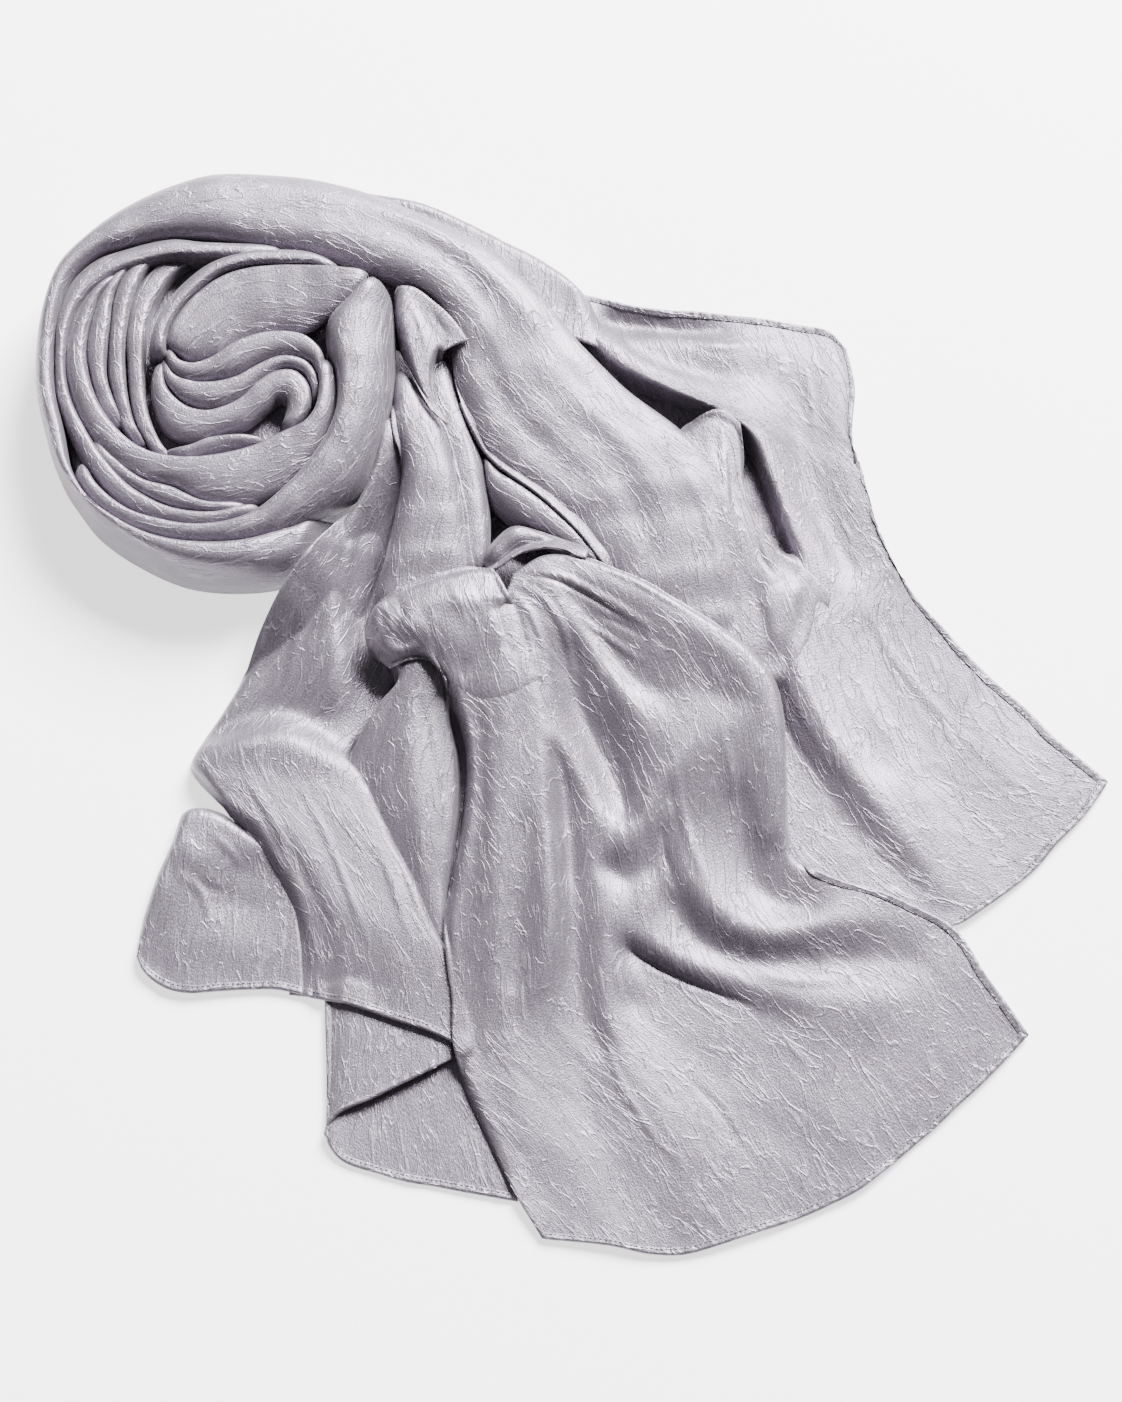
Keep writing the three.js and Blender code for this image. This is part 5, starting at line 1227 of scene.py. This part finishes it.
def put_hem(name, side, low=0.0, high=1.0, seed=0):
    """A narrow rolled hem along one edge, puckered between its stitches, and their line on it."""
    edge, into, up = edge_line(name, side, low, high)
    run = np.concatenate([[0], np.cumsum(np.linalg.norm(np.diff(edge, axis=0), axis=1))])
    at = np.linspace(0, run[-1], int(run[-1]) + 2)
    edge, into, up = (even(v, run, at) for v in (edge, into, up))
    into /= np.linalg.norm(into, axis=1, keepdims=True)
    up = up - into * (up * into).sum(1, keepdims=True)
    up /= np.linalg.norm(up, axis=1, keepdims=True)
    sway_seed, pucker_seed, swell_seed = (base + seed for base in HEM_SEEDS)
    sway = value_noise(at / SWAY, at * 0 + seed, sway_seed) - 0.5
    pucker = value_noise(at / PUCKER, at * 0 + 3.5, pucker_seed)
    swell = value_noise(at / SWELL, at * 0 + 7.5, swell_seed)
    half = HEM_WIDE / 2 * (0.92 + 0.2 * swell)
    thick = HEM_THICK / 2 * (0.8 + 0.55 * pucker)
    upper = np.clip(up[:, 2] * 3, -1, 1)  # 1 on the side of the cloth that faces up
    raise_by = upper * (0.35 + 0.3 * (swell - 0.5))
    centre = edge + into * (half * 0.8 + sway)[:, None] + up * raise_by[:, None]
    turn = np.linspace(0, 2 * math.pi, HEM_SIDES, endpoint=False)
    across = np.sign(np.cos(turn)) * np.abs(np.cos(turn)) ** HEM_SQUARE
    raised = np.sign(np.sin(turn)) * np.abs(np.sin(turn)) ** HEM_SQUARE
    groove = 1 - 0.55 * np.exp(-(((across - SEAM_AT) / 0.28) ** 2))
    taper = smooth(np.minimum(at, run[-1] - at) / 3 + 0.15)
    rings = centre[:, None] + into[:, None] * (across[None] * half[:, None])[..., None]
    rings = rings + up[:, None] * ((raised * groove)[None] * (thick * taper)[:, None])[..., None]
    rings[..., 2] = np.maximum(rings[..., 2], 0.3)
    n, m = len(at), HEM_SIDES
    ends = [tuple(range(m))[::-1], tuple((n - 1) * m + j for j in range(m))]
    uv = np.stack([np.tile(turn * 1.6, n), np.repeat(at, m)], 1) * MM
    finished(name + "_" + side + "_hem", rings.reshape(-1, 3), ring_faces(n, m) + ends, satin(), uv)
    seam = centre + into * (half * SEAM_AT)[:, None] + up * (thick * 0.5 * upper)[:, None]
    return at, seam, into, up


def put_stitches(name, rows):
    """One row of lock stitches along each hem: short dashes half sunk in the cloth."""
    random.seed(STITCH_SEED)
    turns = [ring * 2 * math.pi / THREAD_SIDES for ring in range(THREAD_SIDES)]
    corners, faces = [], []
    for at, centre, into, up in rows:
        s = SEAM_END
        while s < at[-1] - SEAM_END:
            long = STITCH * random.uniform(0.5, 0.68)
            a, b = (even(centre, at, np.array([k]))[0] for k in (s, s + long))
            side, lift = even(into, at, np.array([s]))[0], even(up, at, np.array([s]))[0]
            side = side / np.linalg.norm(side)
            base = len(corners)
            for middle, share in ((a, 0.5), ((a + b) / 2, 1.0), (b, 0.5)):
                for turn in turns:
                    out = THREAD_WIDE * share * math.cos(turn)
                    above = THREAD_HIGH * share * math.sin(turn) + THREAD_LIFT * share
                    corners.append(middle + side * out + lift * above)
            faces += [tuple(base + k for k in face) for face in ring_faces(3, THREAD_SIDES)]
            faces.append(tuple(base + ring for ring in range(THREAD_SIDES))[::-1])
            faces.append(tuple(base + 2 * THREAD_SIDES + ring for ring in range(THREAD_SIDES)))
            s += STITCH * random.uniform(0.9, 1.12)
    return finished(name, corners, faces, thread())


# ---- the hidden layers -------------------------------------------------------------------------
ROSETTE_RIGHT = [[-165, 284], [-130, 268], [-108, 240], [-98, 215], [-96, 188], [-96, 162],
    [-99, 132], [-110, 98], [-128, 92]]
MIDDLE = [[-112, 262], [-60, 250], [-15, 220], [30, 204], [78, 184], [112, 160], [130, 124],
    [128, 78], [104, 46], [60, 24], [0, 6], [-55, -6], [-82, 22], [-90, 60], [-92, 110],
    [-104, 150]]
BESIDE_LEAF = [[-84, 8], [-62, 6], [-46, -10], [-44, -50], [-48, -96], [-62, -118], [-76, -96],
    [-84, -50]]
LAYER = 2.6  # a heap's layers, as they show on its side
AROUND_STEP, SIDE_STEP, TOP_STEP = 2.4, 1.6, 2.6  # the heaps' mesh
HEAP_FOOT = 0.4  # their underside, just over the table


def heap(name, outline, centre, top, inset, seed):
    """A closed heap of cloth: layered round its side, creased on top, flat below."""
    centre = np.array(centre, float)
    edge = length_line([*outline, outline[0]])
    around = int(edge.length / AROUND_STEP)
    ring = edge(np.linspace(0, 1, around, endpoint=False))[:, :2]
    to_edge = ring - centre
    to_edge *= 1 - inset / np.linalg.norm(to_edge, axis=1, keepdims=True)
    reach = np.linalg.norm(to_edge, axis=1, keepdims=True)
    side = max(4, int(top / SIDE_STEP))
    rows = []
    for k in range(side + 1):
        s = k / side
        layer = 0.5 - 0.5 * abs(math.sin(s * top / LAYER * math.pi))
        pull = 1 - (layer + 1.5 * max(0, s - 0.75) ** 2 * 8) / reach
        z = np.full((around, 1), HEAP_FOOT + s * (top - 1.2))
        rows.append(np.concatenate([centre + to_edge * pull, z], 1))
    inward = max(6, int(reach.mean() / TOP_STEP))
    for k in range(1, inward):
        s = 1 - k / inward
        flat = centre + to_edge * (s * 0.985)
        z = top - 0.8 + 0.8 * value_noise(flat[:, 0] / 7, flat[:, 1] / 7, seed)
        rows.append(np.concatenate([flat, z[:, None]], 1))
    n, m = len(rows), around
    place = np.vstack([*rows, [[*centre, top - HEAP_FOOT]], [[*centre, HEAP_FOOT]]])
    faces = ring_faces(n, m)
    faces += [((n - 1) * m + j, (n - 1) * m + (j + 1) % m, n * m) for j in range(m)]
    faces += [((j + 1) % m, j, n * m + 1) for j in range(m)]
    return finished(name, place, faces, satin(), place[:, :2] * MM)


# ---- materials ---------------------------------------------------------------------------------
OBJECT_PLACE = 3  # the Object output of a Texture Coordinate node


class Wire:
    """A node's output, whose sums and products add their own Math nodes."""

    def __init__(self, nodes, socket):
        self.nodes = nodes
        self.socket = socket

    def maths(self, operation, first, second):
        return self.nodes.add("ShaderNodeMath", {"operation": operation}, {0: first, 1: second})

    def __add__(self, other):
        return self.maths("ADD", self, other)

    def __radd__(self, other):
        return self.maths("ADD", other, self)

    def __sub__(self, other):
        return self.maths("SUBTRACT", self, other)

    def __rsub__(self, other):
        return self.maths("SUBTRACT", other, self)

    def __mul__(self, other):
        return self.maths("MULTIPLY", self, other)

    def __rmul__(self, other):
        return self.maths("MULTIPLY", other, self)

    def __abs__(self):
        return self.maths("ABSOLUTE", self, 0.0)


class Nodes:
    """A new material and the one way that nodes are added to it."""

    def __init__(self, name):
        self.material = bpy.data.materials.new(name)
        self.material.use_nodes = True
        self.tree = self.material.node_tree
        self.shader = self.tree.nodes["Principled BSDF"]

    def add(self, kind, settings=None, inputs=None, output=0):
        node = self.tree.nodes.new(kind)
        for key, value in (settings or {}).items():
            if key == "stops":
                for stop, (place, shade) in zip(node.color_ramp.elements, value):
                    stop.position, stop.color = place, shade
            else:
                setattr(node, key, value)
        for key, value in (inputs or {}).items():
            self.feed(node.inputs[key], value)
        return Wire(self, node.outputs[output])

    def feed(self, socket, value):
        if isinstance(value, Wire):
            self.tree.links.new(value.socket, socket)
        else:
            socket.default_value = value

    def finish(self, **values):
        for key, value in values.items():
            self.feed(self.shader.inputs[key.replace("_", " ")], value)
        return self.material


made = {}
# satin's fine creases: each kind's spacing across and along, its turn in degrees, its line's
# width, and a shift that sets it apart from the others
ALONG = (10, 48, 14, 0.021, 3.0)
SLANT = (9, 40, 52, 0.020, 7.0)
CROSS = (9, 36, -44, 0.020, 11.0)
SHORT = (6, 18, 84, 0.026, 15.0)


def satin():
    """Crinkled satin: streaks along the cloth, raised vein-like creases with a painted highlight
    along them, and a fine grain.
    """
    if "satin" in made:
        return made["satin"]
    n = Nodes("crinkled_satin")
    flat_noise = {"noise_dimensions": "2D"}
    uv = n.add("ShaderNodeUVMap", {"uv_map": "UVMap"})

    def noise(across, along, detail, rough, shift, warp=0.0):
        where = n.add("ShaderNodeMapping", {}, {
            "Vector": uv,
            "Location": (shift, shift * 0.7, 0),
            "Scale": (1 / (across * MM), 1 / (along * MM), 1),
        })
        return n.add("ShaderNodeTexNoise", flat_noise, {
            "Vector": where, "Scale": 1.0, "Detail": detail, "Roughness": rough, "Distortion": warp,
        })

    def spread(value, low, high, to_low=0.0, to_high=1.0):
        return n.add("ShaderNodeMapRange", {"clamp": True}, {
            "Value": value, "From Min": low, "From Max": high, "To Min": to_low, "To Max": to_high,
        })

    swirl = n.add("ShaderNodeTexNoise", flat_noise, {"Vector": uv, "Scale": 60.0, "Detail": 2.0}, 1)
    bend = n.add("ShaderNodeVectorMath", {"operation": "MULTIPLY_ADD"},
        {0: swirl, 1: (0.004, 0.006, 0), 2: uv})

    def veins(across, along, turn, wide, shift):
        """Thin raised lines that wander over the cloth, like the creases of crushed satin."""
        where = n.add("ShaderNodeMapping", {}, {
            "Vector": bend,
            "Location": (shift, shift, 0),
            "Rotation": (0, 0, math.radians(turn)),
            "Scale": (1 / (across * MM), 1 / (along * MM), 1),
        })
        drift = n.add("ShaderNodeTexNoise", flat_noise, {
            "Vector": where, "Scale": 1.0, "Detail": 1.0, "Roughness": 0.4, "Distortion": 0.3,
        })
        return n.add("ShaderNodeMapRange", {"interpolation_type": "SMOOTHSTEP"}, {
            "Value": abs(drift - 0.5),
            "From Min": 0.0, "From Max": wide, "To Min": 1.0, "To Max": 0.0,
        })

    streak = noise(1.3, 13, 3, 0.55, 3, 0.3)
    grain = noise(1.0, 1.2, 2, 0.7, 5)
    wave = noise(9, 20, 2, 0.5, 17, 0.6)
    sparse = spread(noise(14, 20, 1, 0.4, 57), 0.38, 0.56)
    patchy = spread(noise(24, 32, 2, 0.5, 31), 0.42, 0.58)
    lines = veins(*ALONG) * sparse + veins(*SLANT) * patchy + veins(*CROSS) * (1.0 - patchy)
    lines = lines + veins(*SHORT) * sparse * 0.8
    height = streak * 0.05 + grain * 0.24 + wave * 0.17 + lines * 0.20
    bump = n.add("ShaderNodeBump", {}, {"Height": height, "Strength": 1.0, "Distance": MM})
    tone = streak * 0.20 + grain * 0.60 + wave * 0.20
    dark, pale = settings().cloth_dark, settings().cloth_pale_and_vein_highlight
    # the colour follows the random streak, grain and wave tone, and the vein lines push it to the
    # pale end: a painted highlight along the raised veins
    shade = n.add("ShaderNodeMix", {"data_type": "RGBA"},
        {0: spread(tone + lines * 0.30, 0.3, 0.80), 6: (*dark, 1), 7: (*pale, 1)}, 2)
    dull = spread(grain * 0.6 + streak * 0.4, 0.3, 0.7, 0.36, 0.50)
    made["satin"] = n.finish(Base_Color=shade, Roughness=dull, Normal=bump, Metallic=0.60,
        Sheen_Weight=0.1, Sheen_Roughness=0.4)
    return made["satin"]


def thread():
    """The hems' thread, a shade darker than the cloth, with its twist."""
    if "thread" in made:
        return made["thread"]
    n = Nodes("hem_thread")
    place = n.add("ShaderNodeTexCoord", {}, {}, OBJECT_PLACE)
    twist = n.add("ShaderNodeTexWave", {"bands_direction": "DIAGONAL"},
        {"Vector": place, "Scale": 900.0})
    dark = settings().thread
    shade = n.add("ShaderNodeMix", {"data_type": "RGBA"},
        {0: twist, 6: (*dark, 1), 7: (*[c * 1.5 for c in dark], 1)}, 2)
    made["thread"] = n.finish(Base_Color=shade, Roughness=0.6)
    return made["thread"]


GLOW = 1.6  # the table is lit from below a little, as on a light box


def table_top():
    """A plain matt table with a faint mottle."""
    n = Nodes("table_top")
    place = n.add("ShaderNodeTexCoord", {}, {}, OBJECT_PLACE)
    mottle = n.add("ShaderNodeTexNoise", {}, {"Vector": place, "Scale": 12.0, "Detail": 3.0})
    pale = settings().floor
    shade = n.add("ShaderNodeMix", {"data_type": "RGBA"},
        {0: mottle, 6: (*[c * 0.985 for c in pale], 1), 7: (*pale, 1)}, 2)
    return n.finish(Base_Color=shade, Roughness=0.9, Specular_IOR_Level=0.1,
        Emission_Color=(1, 1, 1, 1), Emission_Strength=GLOW)


# ---- settings, operators, panel ----------------------------------------------------------------
class HijabSettings(bpy.types.PropertyGroup):
    """What a user would change."""

    # the dark end of the cloth's random tone, away from the painted highlight on the vein lines
    cloth_dark: bpy.props.FloatVectorProperty(
        name="Cloth, dark", description="The cloth's colour in its creases",
        default=(0.130, 0.113, 0.139), subtype="COLOR", size=3, min=0, max=1)
    # the pale end of the cloth's random tone, and the painted highlight along the raised vein lines
    cloth_pale_and_vein_highlight: bpy.props.FloatVectorProperty(
        name="Cloth, pale", description="The cloth's colour on its ridges",
        default=(0.240, 0.210, 0.255), subtype="COLOR", size=3, min=0, max=1)
    thread: bpy.props.FloatVectorProperty(
        name="Thread", description="The colour of the hems' thread",
        default=(0.06, 0.055, 0.068), subtype="COLOR", size=3, min=0, max=1)
    floor: bpy.props.FloatVectorProperty(
        name="Table", description="The table's colour",
        default=(0.93, 0.93, 0.93), subtype="COLOR", size=3, min=0, max=1)
    view_width: bpy.props.FloatProperty(
        name="View width", description="What the camera takes in across",
        default=0.6, min=0.1, subtype="DISTANCE", unit="LENGTH")
    distance: bpy.props.FloatProperty(
        name="Camera distance", description="From the camera to the cloth",
        default=2.2, min=0.5, subtype="DISTANCE", unit="LENGTH")
    elevation: bpy.props.FloatProperty(
        name="Camera elevation", description="Above the horizon",
        default=math.radians(72), subtype="ANGLE", unit="ROTATION")


def settings():
    """The values in the panel."""
    return bpy.context.scene.hijab


class HIJAB_OT_rosette(bpy.types.Operator):
    """Winds the rosette: the wrap, its rings, strips and petals"""

    bl_idname = "hijab.rosette"
    bl_label = "Wind the rosette"

    def execute(self, context):
        for name in BANDS:
            if name.startswith("rosette") and name != "rosette_wrap":
                put_band(name)
        return {"FINISHED"}


class HIJAB_OT_right_end(bpy.types.Operator):
    """Lays the end that fans out to the right, with the folds on it"""

    bl_idname = "hijab.right_end"
    bl_label = "Lay the right end"

    def execute(self, context):
        for name in ("right_end", "second_fold", "behind"):
            put_panel(name)
        return {"FINISHED"}


class HIJAB_OT_wrap(bpy.types.Operator):
    """Lays the rolls under the broad band, and the band with the wrap that it runs into"""

    bl_idname = "hijab.wrap"
    bl_label = "Lay the broad band and the wrap"

    def execute(self, context):
        put_band("under_roll")
        put_band("ribbon_2")
        put_band("rosette_wrap", "main_band")
        return {"FINISHED"}


class HIJAB_OT_left_end(bpy.types.Operator):
    """Lays the hem's double fold, the flap and the tail that comes down from the rosette"""

    bl_idname = "hijab.left_end"
    bl_label = "Lay the left end"

    def execute(self, context):
        p, uv = folded_grid(HEM_FOLD)
        put("hem_fold", p + normals_of(p) * WALL, uv, [])
        for name in ("left_flap", "leaf", "under_tail"):
            put_panel(name)
        return {"FINISHED"}


class HIJAB_OT_middle(bpy.types.Operator):
    """Lays the broad ribbon down to the knot, and the collar over it"""

    bl_idname = "hijab.middle"
    bl_label = "Lay the middle"

    def execute(self, context):
        put_band("ribbon_1")
        put_panel("collar_petal")
        return {"FINISHED"}


class HIJAB_OT_front_end(bpy.types.Operator):
    """Lays the end that comes towards the front, and the knot over it"""

    bl_idname = "hijab.front_end"
    bl_label = "Lay the front end and the knot"

    def execute(self, context):
        put_panel("front_end")
        put_band("small_petal")
        put_panel("knot")
        return {"FINISHED"}


class HIJAB_OT_hidden_layers(bpy.types.Operator):
    """Heaps the layers under the rosette and the middle"""

    bl_idname = "hijab.hidden_layers"
    bl_label = "Heap the hidden layers"

    def execute(self, context):
        wrap = [row[2:4] for row in BANDS["rosette_wrap"]["rows"][1:]]
        outline = [*wrap, *ROSETTE_RIGHT]
        piece = heap("rosette_layers", outline, [-183, 172], CORE_TOP, inset=6, seed=3)
        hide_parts("hidden_layers")
        heap("middle_layers", MIDDLE, [-5, 112], SLAB_TOP, inset=2, seed=4)
        heap("leaf_layers", BESIDE_LEAF, [-64, -50], SLAB_TOP, inset=2, seed=6)
        return {"FINISHED"}


class HIJAB_OT_hems(bpy.types.Operator):
    """Rolls and stitches the hems"""

    bl_idname = "hijab.hems"
    bl_label = "Sew the hems"

    def execute(self, context):
        rows = []
        for k, (name, side, low, high) in enumerate(HEMS):
            rows.append(put_hem(name, side, low, high, k))
        put_stitches("hem_stitches", rows)
        return {"FINISHED"}


LIGHTS = [  # name, place, side in metres, watts
    ("key", (1.6, 3.0, 2.7), 2.2, 1480),
    ("fill", (-2.0, -1.2, 2.0), 2.4, 12),
]
WORLD = 0.13  # the strength of the light from all round
TABLE_SIDE = 12
IMAGE_WIDE, IMAGE_HIGH = 1122, 1402


class HIJAB_OT_stage(bpy.types.Operator):
    """Sets the table, the lights and the camera"""

    bl_idname = "hijab.stage"
    bl_label = "Set the stage"

    def execute(self, context):
        bpy.ops.object.select_all(action="DESELECT")
        bpy.ops.mesh.primitive_plane_add(size=TABLE_SIDE, location=(0, 0, 0))
        floor = bpy.context.object
        floor.name = "table_top"
        floor.data.materials.append(table_top())
        for name, place, size, watts in LIGHTS:
            light = bpy.data.lights.new(name, "AREA")
            light.size, light.energy = size, watts
            lamp = bpy.data.objects.new(name, light)
            lamp.location = place
            lamp.rotation_euler = (-Vector(place)).to_track_quat("-Z", "Y").to_euler()
            context.scene.collection.objects.link(lamp)
        world = bpy.data.worlds.new("studio")
        world.use_nodes = True
        background = world.node_tree.nodes["Background"]
        background.inputs["Color"].default_value = (1, 1, 1, 1)
        background.inputs["Strength"].default_value = WORLD
        context.scene.world = world
        s = settings()
        target = Vector((-CENTRE[0] * MM, -CENTRE[1] * MM, 0))
        camera = bpy.data.cameras.new("camera")
        camera.lens = camera.sensor_width * s.distance / (s.view_width * IMAGE_HIGH / IMAGE_WIDE)
        eye = bpy.data.objects.new("camera", camera)
        back = Vector((0, -math.cos(s.elevation), math.sin(s.elevation)))
        eye.location = target + back * s.distance
        eye.rotation_euler = (-back).to_track_quat("-Z", "Y").to_euler()
        context.scene.collection.objects.link(eye)
        context.scene.camera = eye
        return {"FINISHED"}


class HIJAB_PT_panel(bpy.types.Panel):
    """The steps, in the order in which the hijab is laid"""

    bl_idname = "HIJAB_PT_panel"
    bl_label = "Hijab"
    bl_space_type = "VIEW_3D"
    bl_region_type = "UI"
    bl_category = "Hijab"

    def draw(self, context):
        for step in STEPS:
            self.layout.operator(step.bl_idname)
        for name in HijabSettings.__annotations__:
            self.layout.prop(context.scene.hijab, name)


STEPS = [
    HIJAB_OT_rosette, HIJAB_OT_right_end, HIJAB_OT_wrap, HIJAB_OT_left_end, HIJAB_OT_middle,
    HIJAB_OT_front_end, HIJAB_OT_hidden_layers, HIJAB_OT_hems, HIJAB_OT_stage,
]


def register():
    for kind in [HijabSettings, *STEPS, HIJAB_PT_panel]:
        bpy.utils.register_class(kind)
    bpy.types.Scene.hijab = bpy.props.PointerProperty(type=HijabSettings)


def unregister():
    del bpy.types.Scene.hijab
    for kind in [HIJAB_PT_panel, *STEPS[::-1], HijabSettings]:
        bpy.utils.unregister_class(kind)


def main():
    register()
    for step in STEPS:
        area, action = step.bl_idname.split(".")
        getattr(getattr(bpy.ops, area), action)()


if __name__ == "__main__":
    main()
